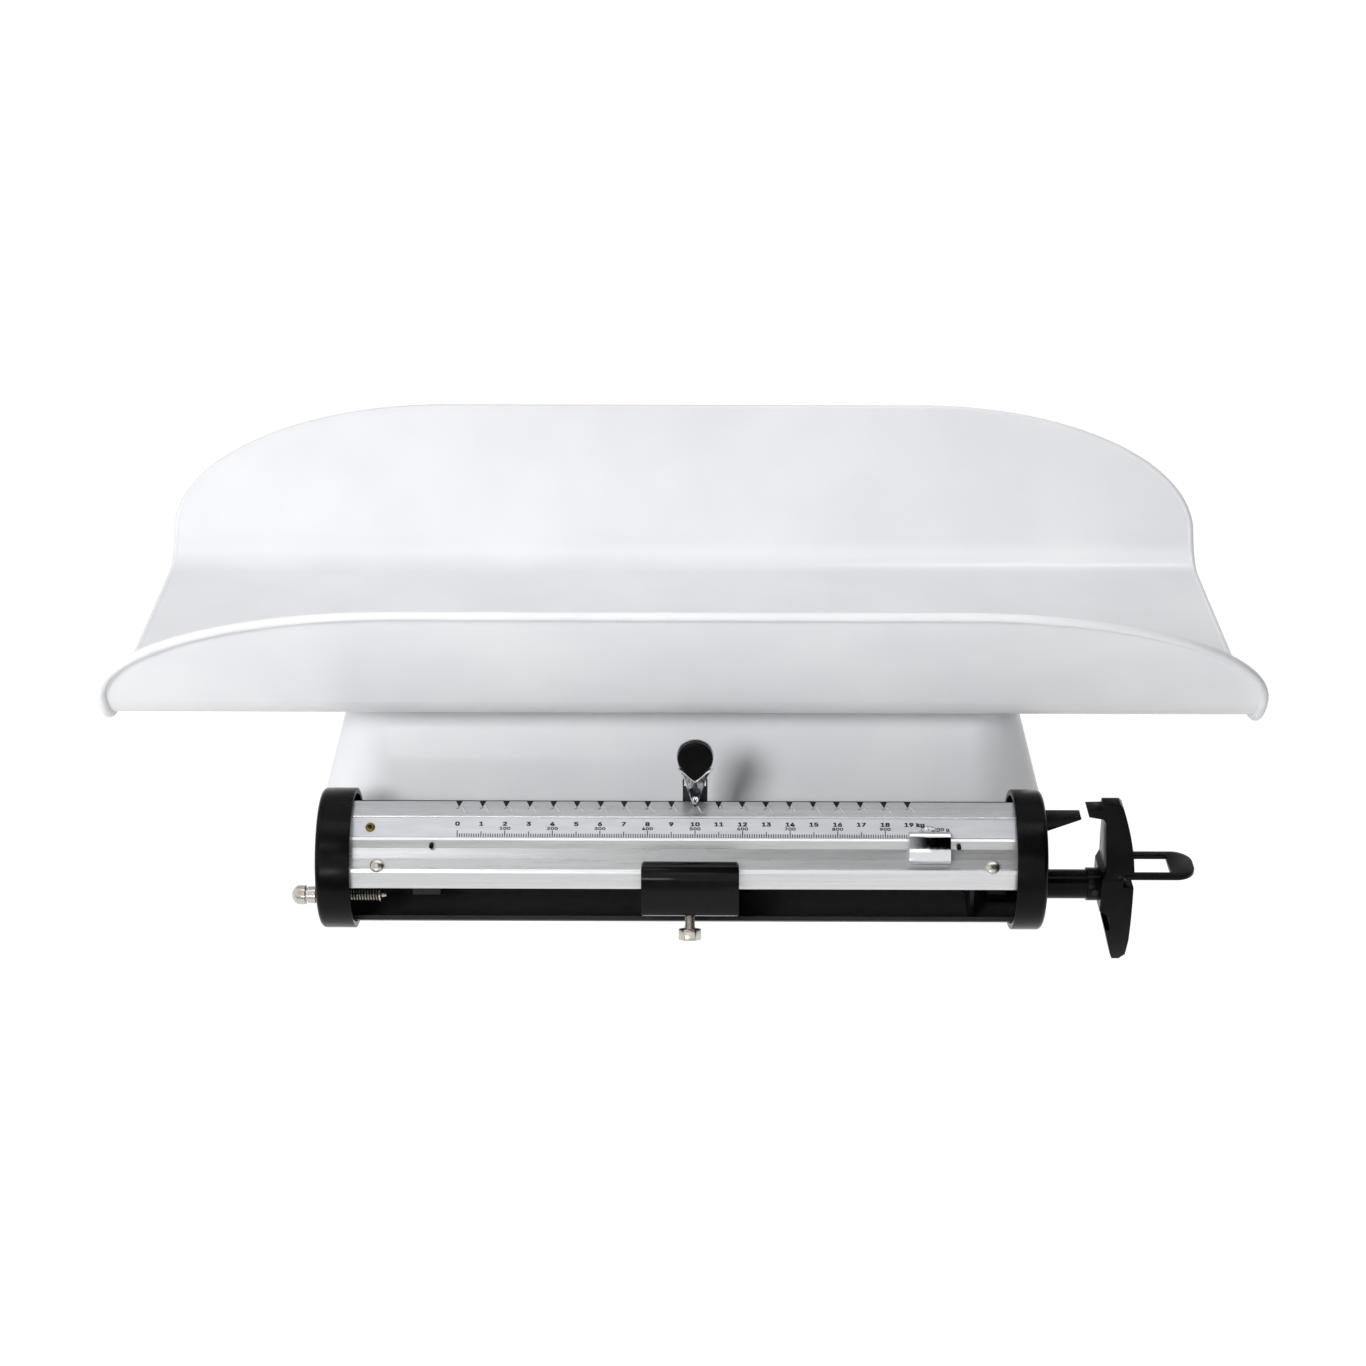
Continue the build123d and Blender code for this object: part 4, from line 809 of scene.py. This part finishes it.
class SCALE_OT_printing(bpy.types.Operator):
    """Print the label's numbers and ticks"""

    bl_idname = "scale.printing"
    bl_label = "Label printing"

    face = None

    def words(self, text, x, height, row):
        """One word as a thin mesh, its middle at x, with prints side by side for bold."""
        up, widen, bold = row
        curve = bpy.data.curves.new("words", "FONT")
        curve.body = text
        curve.font = self.face
        curve.size = height / CAPITAL_SHARE
        curve.align_x = "CENTER"
        curve.extrude = INK_THICKNESS / 2
        curve.resolution_u = 3
        curve.space_character = 1.04
        prints = []
        for k, (across, along) in enumerate(((-1, -0.5), (-1, 0.5), (1, -0.5), (1, 0.5), (0, 0))):
            mesh = plain_copy(linked("helper", curve))
            out = WORDS_OUT + k * NEXT_PRINT_OUT
            place = label_matrix(x + across * bold, up + along * bold, out)
            mesh.transform(place @ Matrix.Diagonal((widen, 1, 1, 1)))
            prints.append(mesh)
        return joined(prints)

    def execute(self, context):
        sizes = context.scene.scale_print
        fonts = bpy.utils.system_resource("DATAFILES") + "/fonts/"
        self.face = bpy.data.fonts.load(fonts + "Inter.woff2")
        parts = []
        for kilogram in range(NOTCHES):
            x = FIRST_NOTCH_X + kilogram * NOTCH_PITCH
            parts.append(self.words(str(kilogram), x, sizes.kilogram_height, KILOGRAM_ROW))
            if kilogram and kilogram % 2 == 0:
                parts.append(self.words(str(kilogram * 50), x, sizes.gram_height, GRAM_ROW))
        last = FIRST_NOTCH_X + (NOTCHES - 1) * NOTCH_PITCH
        parts.append(self.words("kg", last + KG_GAP, sizes.kilogram_height, KILOGRAM_ROW))
        after = last + NOTCH_PITCH + GRAM_GAP
        parts.append(self.words("1000 g", after, sizes.gram_height, GRAM_ROW))
        keep_piece("label_numbers", joined(parts), "beam", "ink")

        tree = tick_tree(finish_of("ink"))
        rows = (
            (NOTCHES * 10 + 1, NOTCH_PITCH / 10, sizes.short_tick),
            (NOTCHES + 1, NOTCH_PITCH, sizes.long_tick),
            (NOTCHES // 2 + 1, NOTCH_PITCH * 2, sizes.long_tick + 0.0005),
        )
        strokes = []
        for count, pitch, length in rows:
            values = {"Count": count, "Pitch": pitch * MM, "Start": FIRST_NOTCH_X * MM}
            values.update(Length=length, Width=sizes.tick_width, Thickness=INK_THICKNESS)
            strokes.append(bake_tree(tree, values))
        ticks = joined(strokes)
        ticks.transform(label_matrix(0.0, TICK_FOOT, TICKS_OUT))
        keep_piece("label_ticks", ticks, "beam", "ink")
        return {"FINISHED"}


class SCALE_OT_mouldings(bpy.types.Operator):
    """Round the edges of the black mouldings, and curve the tare block's front"""

    bl_idname = "scale.mouldings"
    bl_label = "Black mouldings"

    def execute(self, context):
        for node, width in MOULDED.items():
            mesh = softened(frame["nodes"][node].data, width)
            keep_piece(node + "_moulded", mesh, body_of(node), "black_plastic", (node,))
        block = swept(TARE_FRONT + TARE_BACK, TARE_X - TARE_HALF, TARE_X + TARE_HALF)
        block = rounded_front(block, *TARE_ROUNDING)
        keep_piece("tare_poise_moulded", block, "tare_poise", "black_bakelite", ("tare_poise",))
        return {"FINISHED"}


class SCALE_OT_profile(bpy.types.Operator):
    """Add the drawn profile's polished bead and notch burrs, and a black strip of painted shade
    behind the notches
    """

    bl_idname = "scale.profile"
    bl_label = "Profile edges"

    def burr(self, path, half_mm, height_mm):
        """A low ridge along a path on the flange: x and the distance from its rear edge."""
        bm = bmesh.new()
        rings = []
        for k, (x, back) in enumerate(path):
            low, high = path[max(k - 1, 0)], path[min(k + 1, len(path) - 1)]
            run = Vector((high[0] - low[0], high[1] - low[1], 0.0)).normalized()
            aside = Vector((-run.y, run.x, 0.0)) * half_mm
            top = Vector((0, 0, 0.05 if k in (0, len(path) - 1) else height_mm))
            middle = Vector((x, back, 0.0))
            rings.append([bm.verts.new(middle + off) for off in (-aside, top, aside)])
        bridge(bm, rings)
        return mesh_from(bm)

    def execute(self, context):
        # Painted shade: a black strip turned up from the tube to just under the flange, seen in the
        # notches
        low, high = (math.radians(degrees) for degrees in NOTCH_SHADE_TURNS)
        turns = [low + (high - low) * k / 8 for k in range(9)]
        arc = [(SHELL_RADIUS * math.cos(t), SHELL_RADIUS * math.sin(t)) for t in turns]
        inner = SHELL_RADIUS - SHELL_WALL
        arc += [(inner * math.cos(t), inner * math.sin(t)) for t in reversed(turns)]
        edge = shade_smooth(swept(arc, -SHELL_END, SHELL_END))
        keep_piece("shell_rear_edge", edge, "beam", "black_paint")

        # The flange's front edge carries a polished bead
        back, up, radius = FLANGE_BEAD
        turns = [k * math.pi / 8 for k in range(16)]
        bead = [(back + radius * math.cos(t), up + radius * math.sin(t)) for t in turns]
        line = shade_smooth(swept(bead, -SHELL_END + 2.0, SHELL_END - 2.0), 60.0)
        keep_piece("flange_front_bead", line, "beam", "polished_edge")

        # Each notch was punched from above and left burrs at its foot
        burr = joined([self.burr(*ridge) for ridge in NOTCH_RIDGES])
        place = Matrix.Translation(on_beam(0.0, *FLANGE_REAR))
        slope = Matrix.Rotation(math.atan2(*FLANGE_SLOPE), 4, "X")
        burr.transform(place @ slope @ Matrix.Diagonal((MM, -MM, MM, 1.0)))
        burr.flip_normals()
        sizes = {"Count": NOTCHES, "Pitch": NOTCH_PITCH * MM, "Start": FIRST_NOTCH_X * MM}
        row = bake_tree(row_tree(finish_of("polished_edge")), sizes, burr)
        keep_piece("notch_burrs", row, "beam", "polished_edge")
        return {"FINISHED"}


class SCALE_OT_plated(bpy.types.Operator):
    """Make the chrome latch and gram poise, and the label's eyelet"""

    bl_idname = "scale.plated"
    bl_label = "Chrome pieces"

    def tongue(self):
        """The gram poise's tongue, which lies over the label."""
        bm = bmesh.new()
        bridge(bm, [[bm.verts.new((x, up, out)) for x, up in TONGUE] for out in TONGUE_OUT])
        round_edges(bm, [e for e in bm.edges if all(v.co.z > 1.0 for v in e.verts)], 0.35)
        bmesh.ops.scale(bm, vec=(MM, MM, MM), verts=bm.verts)
        bm.transform(label_matrix(GRAM_X))
        return shade_smooth(mesh_from(bm))

    def wing(self, side):
        """Half of the latch's sheet below the knob, from its rim in to the V's crease."""
        bm = bmesh.new()
        rows = []
        for (half, up), (fold, low) in zip(WING_RIM, WING_CREASE):
            spots = [(half, -4.2, up), (half - 0.7, -4.6, up - 0.2), (fold, -2.3, low)]
            spots += [(fold, -2.1, low), (half, -2.1, up)]
            rows.append([bm.verts.new(on_beam(KG_X + side * x, y, z)) for x, y, z in spots])
        bridge(bm, rows)
        mesh = shade_smooth(mesh_from(bm), 30.0)
        mesh.materials.append(finish_of("chrome"))
        mesh.materials.append(finish_of("folded_chrome"))
        # Faces turned to the front take the chrome with painted shade, a painted reflection of the
        # knob
        for face in mesh.polygons:
            if face.area > 4e-6 and face.normal.y < -0.5:
                face.material_index = 1
        return mesh

    def rim(self):
        """The sheet's bright upper rim, along the knob's underside from cheek to cheek."""
        path = UPPER_EDGE + [(-across, height) for across, height in reversed(UPPER_EDGE[:-1])]
        bm = bmesh.new()
        rings = []
        for k, (across, height) in enumerate(path):
            thick = EDGE_RADII[k not in (0, len(path) - 1)]
            middle = Vector((KG_X + across, BEAM_Y - 5.0, BEAM_Z + height))
            lean = Vector((across, 0.0, height - KNOB_UP)).normalized()
            ring = []
            for turn in (2 * math.pi * step / 8 for step in range(8)):
                aside = (lean * math.cos(turn) + Vector((0, math.sin(turn), 0))) * thick
                ring.append(bm.verts.new((middle + aside) * MM))
            rings.append(ring)
        bridge(bm, rings)
        return shade_smooth(mesh_from(bm), 60.0)

    def execute(self, context):
        latch = softened(frame["nodes"]["kg_latch"].data, 0.35, 4)
        keep_piece("kg_latch_plated", latch, "kg_latch", "chrome", ("kg_latch",))
        saddle = swept(GRAM_FRONT + GRAM_BACK, GRAM_X - GRAM_HALF, GRAM_X + GRAM_HALF)
        saddle = rounded_front(saddle, *GRAM_ROUNDING)
        keep_piece("gram_poise_plated", saddle, "gram_poise", "chrome", ("gram_poise",))
        # The tongue takes the chrome with painted shade
        keep_piece("gram_poise_tongue", self.tongue(), "gram_poise", "folded_chrome")
        for name, side in (("latch_left_wing", -1), ("latch_right_wing", 1)):
            keep_piece(name, self.wing(side), "kg_latch", "chrome")
        keep_piece("latch_rim", self.rim(), "kg_latch", "chrome")

        # The label's brass eyelet, and a nearly black disc of painted shade in its bore
        place = label_matrix(LABEL_EYELET_X, 0.0, 0.3)
        profile = [(0.0, 2.25), (0.35, 2.2), (0.7, 1.95), (0.9, 1.5), (0.75, 1.05)]
        profile += [(0.35, 0.9), (0.0, 0.9)]
        keep_piece("label_eyelet", turned(profile, place), "beam", "brass", ("label_rivet",))
        bore = turned([(0.0, 0.95), (0.32, 0.95), (0.33, 0.0)], place)
        keep_piece("label_eyelet_bore", bore, "beam", "eyelet_bore")
        return {"FINISHED"}


class SCALE_OT_screws(bpy.types.Operator):
    """Turn the zero screw and the thumb screw with their threads, and the profile's screws"""

    bl_idname = "scale.screws"
    bl_label = "Threaded screws"

    def zero_screw(self):
        """The domed zero screw, with painted shade in its thread's grooves."""
        place = Matrix.Translation(on_beam(0.0, *ZERO_SCREW))
        profile = [(-184.0, 0.0), (-183.9, 1.4), (-183.3, 2.7), (-182.2, 3.9), (-180.9, 4.6)]
        profile += [(-177.6, 4.6), (-177.3, 4.4), (-177.3, 3.2), (-176.3, 3.2), (-176.3, 4.0)]
        profile += [(-172.8, 4.1), (-172.7, 2.9)] + threaded(ZERO_THREAD)
        profile += [(-141.5, 2.2), (-141.4, 1.1), (-139.4, 0.7), (-139.3, 0.0)]
        screw = turned(profile, place @ Matrix.Rotation(math.radians(90.0), 4, "Y"), ZERO_THREAD)
        screw.materials.append(finish_of("nickel"))
        screw.materials.append(finish_of("dirty_groove"))
        # Faces deep in the thread's grooves take the painted shade
        groove = ZERO_THREAD["radius"] - 0.55 * ZERO_THREAD["depth"]
        for face in screw.polygons:
            x, y, z = face.center / MM
            reach = math.hypot(y - BEAM_Y - ZERO_SCREW[0], z - BEAM_Z - ZERO_SCREW[1])
            if ZERO_THREAD["from"] < x < ZERO_THREAD["to"] and reach < groove:
                face.material_index = 1
        return screw

    def tare_screw(self):
        """The thumb screw, whose hexagon has rounded edges."""
        place = Matrix.Translation(on_beam(TARE_X, *TARE_SCREW))
        matrix = place @ Matrix.Rotation(math.pi - TARE_LEAN, 4, "X")
        profile = [(-6.0, 0.0), (-5.9, 2.0)] + threaded(TARE_THREAD)
        profile += [(7.7, 2.3), (7.75, 1.0), (7.8, 0.0)]
        shank = turned(profile, matrix, TARE_THREAD)
        bm = bmesh.new()
        size = TARE_HEAD * MM
        bmesh.ops.create_cone(bm, cap_ends=True, segments=6, radius1=size, radius2=size, depth=size)
        round_edges(bm, list(bm.edges), 0.6 * MM, 2)
        turn = Matrix.Rotation(math.radians(30.0), 4, "Z")
        bm.transform(matrix @ Matrix.Translation(Vector((0, 0, 10.45)) * MM) @ turn)
        return joined([shank, shade_smooth(mesh_from(bm))])

    def dome(self, x):
        """One of the profile's screws, with a low polished head."""
        place = Matrix.Translation(on_beam(x, *PROFILE_SCREW))
        profile = [(-8.0, 0.0), (-8.0, 1.5), (0.0, 1.6), (0.0, 3.0), (0.15, 3.3), (0.45, 3.2)]
        profile += [(0.8, 2.75), (1.1, 2.1), (1.3, 1.3), (1.38, 0.6), (1.4, 0.0)]
        lean = math.radians(PROFILE_SCREW_LEAN)
        return turned(profile, place @ Matrix.Rotation(lean, 4, "X"))

    def execute(self, context):
        keep_piece("zero_screw_turned", self.zero_screw(), "zero_screw", "nickel", ("zero_screw",))
        thumb = self.tare_screw()
        keep_piece("tare_screw_hexagon", thumb, "tare_screw", "nickel", ("tare_screw",))
        domes = joined([self.dome(x) for x in PROFILE_SCREWS_X])
        keep_piece("profile_screws_domed", domes, "beam", "nickel", ("profile_screws",))
        return {"FINISHED"}


class SCALE_OT_studio(bpy.types.Operator):
    """Set the floor, the lamps, the sky and the camera"""

    bl_idname = "scale.studio"
    bl_label = "Studio"

    def facing(self, place, aim):
        """The turn that points a lamp or card at its aim."""
        return (Vector(aim) - Vector(place)).to_track_quat("-Z", "Y").to_euler()

    def lamp(self, name, place, aim, size, power, mirrored):
        """A rectangular softbox."""
        light = bpy.data.lights.new(name, "AREA")
        light.shape = "RECTANGLE"
        light.size, light.size_y = size
        light.energy = power
        lamp = linked(name, light)
        lamp.location = place
        lamp.rotation_euler = self.facing(place, aim)
        lamp.visible_glossy = mirrored

    def sheet(self, name, size, cloth):
        """A flat studio sheet, with its material's bare tree."""
        bm = bmesh.new()
        bmesh.ops.create_grid(bm, x_segments=1, y_segments=1, size=0.5)
        bmesh.ops.scale(bm, vec=(*size, 1.0), verts=bm.verts)
        sheet = linked(name, mesh_from(bm, recalculate=False))
        sheet.data.materials.append(bpy.data.materials.new(cloth))
        return sheet, *bare_tree(sheet.data.materials[0])

    def seen_directly(self, tree):
        """1 for rays that see the plain backdrop: the camera's, gloss's and glass's."""
        path = add_node(tree, "ShaderNodeLightPath").outputs
        most = {"operation": "MAXIMUM"}
        two = {0: path["Is Camera Ray"], 1: path["Is Glossy Ray"]}
        either = add_node(tree, "ShaderNodeMath", most, links=two)
        all_three = {0: either.outputs[0], 1: path["Is Transmission Ray"]}
        return add_node(tree, "ShaderNodeMath", most, links=all_three).outputs[0]

    def card(self, name, place, aim, size, left, right, reach=(-0.5, 0.5)):
        """A card that only reflections see, its brightness running from its left to its right."""
        card, tree, output = self.sheet(name, size, name)
        card.location = place
        card.rotation_euler = self.facing(place, aim)
        spot = add_node(tree, "ShaderNodeTexCoord").outputs["Object"]
        split = add_node(tree, "ShaderNodeSeparateXYZ", links={"Vector": spot})
        run = add_node(
            tree,
            "ShaderNodeMapRange",
            {"interpolation_type": "SMOOTHSTEP"},
            {"From Min": reach[0], "From Max": reach[1], "To Min": left, "To Max": right},
            {"Value": split.outputs["X"]},
        )
        strength = {"Strength": run.outputs["Result"]}
        glow = add_node(tree, "ShaderNodeEmission", inputs={"Color": WHITE}, links=strength)
        tree.links.new(glow.outputs[0], output.inputs["Surface"])
        card.visible_camera = card.visible_diffuse = False
        card.visible_shadow = card.visible_transmission = False

    def floor(self, paper):
        """The pale floor, which the camera sees as plain white."""
        floor, tree, output = self.sheet("studio_floor", (16.0, 16.0), "backdrop_paper")
        matt = add_node(tree, "ShaderNodeBsdfDiffuse", inputs={"Color": (*paper, 1.0)})
        glow = add_node(tree, "ShaderNodeEmission", inputs={"Color": WHITE, "Strength": 1.12})
        direct = {0: self.seen_directly(tree)}
        share = add_node(tree, "ShaderNodeMath", {"operation": "MULTIPLY"}, {1: 0.9}, direct)
        both = {0: share.outputs[0], 1: matt.outputs[0], 2: glow.outputs[0]}
        mixed = add_node(tree, "ShaderNodeMixShader", links=both)
        tree.links.new(mixed.outputs[0], output.inputs["Surface"])

    def sky(self, fill):
        """Even light from all around, and plain white behind the object."""
        sky = bpy.data.worlds.new("studio_sky")
        bpy.context.scene.world = sky
        tree, output = bare_tree(sky, "ShaderNodeOutputWorld")
        dim = {"Color": (0.97, 0.98, 1.0, 1.0), "Strength": fill}
        even = add_node(tree, "ShaderNodeBackground", inputs=dim)
        plain = {"Color": WHITE, "Strength": 1.0}
        white = add_node(tree, "ShaderNodeBackground", inputs=plain)
        both = {0: self.seen_directly(tree), 1: even.outputs[0], 2: white.outputs[0]}
        mixed = add_node(tree, "ShaderNodeMixShader", links=both)
        tree.links.new(mixed.outputs[0], output.inputs["Surface"])

    def flag(self):
        """A black flag at the right, which keeps the even light off that side."""
        flag, tree, output = self.sheet("right_flag", (1.0, 1.0), "black_velvet")
        flag.location = (0.75, -0.35, 0.45)
        flag.rotation_euler = (0.0, math.radians(90.0), math.radians(-25.0))
        dull = add_node(tree, "ShaderNodeBsdfDiffuse", inputs={"Color": (0.01, 0.01, 0.01, 1.0)})
        tree.links.new(dull.outputs[0], output.inputs["Surface"])
        flag.visible_camera = flag.visible_shadow = False

    def execute(self, context):
        sizes = context.scene.scale_studio
        self.floor(sizes.paper)
        self.sky(sizes.fill)
        for name, place, aim, size, power, mirrored in LAMPS:
            self.lamp(name, place, aim, size, getattr(sizes, power), mirrored)
        for values in CARDS:
            self.card(*values)
        self.flag()

        view = bpy.data.cameras.new("photo_camera")
        view.lens = CAMERA_LENS
        view.sensor_width = 36.0
        view.clip_end = 50.0
        camera = linked("photo_camera", view)
        camera.location = CAMERA_PLACE
        pose = Matrix.Identity(4)
        for degrees, axis in CAMERA_TURNS:
            pose = pose @ Matrix.Rotation(math.radians(degrees), 4, axis)
        camera.rotation_euler = pose.to_euler()
        context.scene.camera = camera
        context.scene.view_settings.view_transform = "Standard"
        return {"FINISHED"}


class SCALE_PT_panel(bpy.types.Panel):
    """The baby scale's pieces and sizes"""

    bl_label = "Baby Scale"
    bl_idname = "SCALE_PT_panel"
    bl_space_type = "VIEW_3D"
    bl_region_type = "UI"
    bl_category = "Baby Scale"

    def draw(self, context):
        layout = self.layout
        for group in (context.scene.scale_print, context.scene.scale_studio):
            for name in group.__annotations__:
                layout.prop(group, name)
        for operator in OPERATORS:
            layout.operator(operator.bl_idname)


SETTINGS = {"scale_print": PrintSettings, "scale_studio": StudioSettings}
OPERATORS = (
    SCALE_OT_studio,
    SCALE_OT_finishes,
    SCALE_OT_printing,
    SCALE_OT_mouldings,
    SCALE_OT_profile,
    SCALE_OT_plated,
    SCALE_OT_screws,
)


def register():
    for group in SETTINGS.values():
        bpy.utils.register_class(group)
    for name, group in SETTINGS.items():
        setattr(bpy.types.Scene, name, bpy.props.PointerProperty(type=group))
    for operator in OPERATORS:
        bpy.utils.register_class(operator)
    bpy.utils.register_class(SCALE_PT_panel)


def unregister():
    bpy.utils.unregister_class(SCALE_PT_panel)
    for operator in reversed(OPERATORS):
        bpy.utils.unregister_class(operator)
    for name in SETTINGS:
        delattr(bpy.types.Scene, name)
    for group in SETTINGS.values():
        bpy.utils.unregister_class(group)


def main():
    register()
    bpy.ops.scale.studio()
    bpy.ops.scale.finishes()
    bpy.ops.scale.printing()
    bpy.ops.scale.mouldings()
    bpy.ops.scale.profile()
    bpy.ops.scale.plated()
    bpy.ops.scale.screws()


if __name__ == "__main__":
    main()
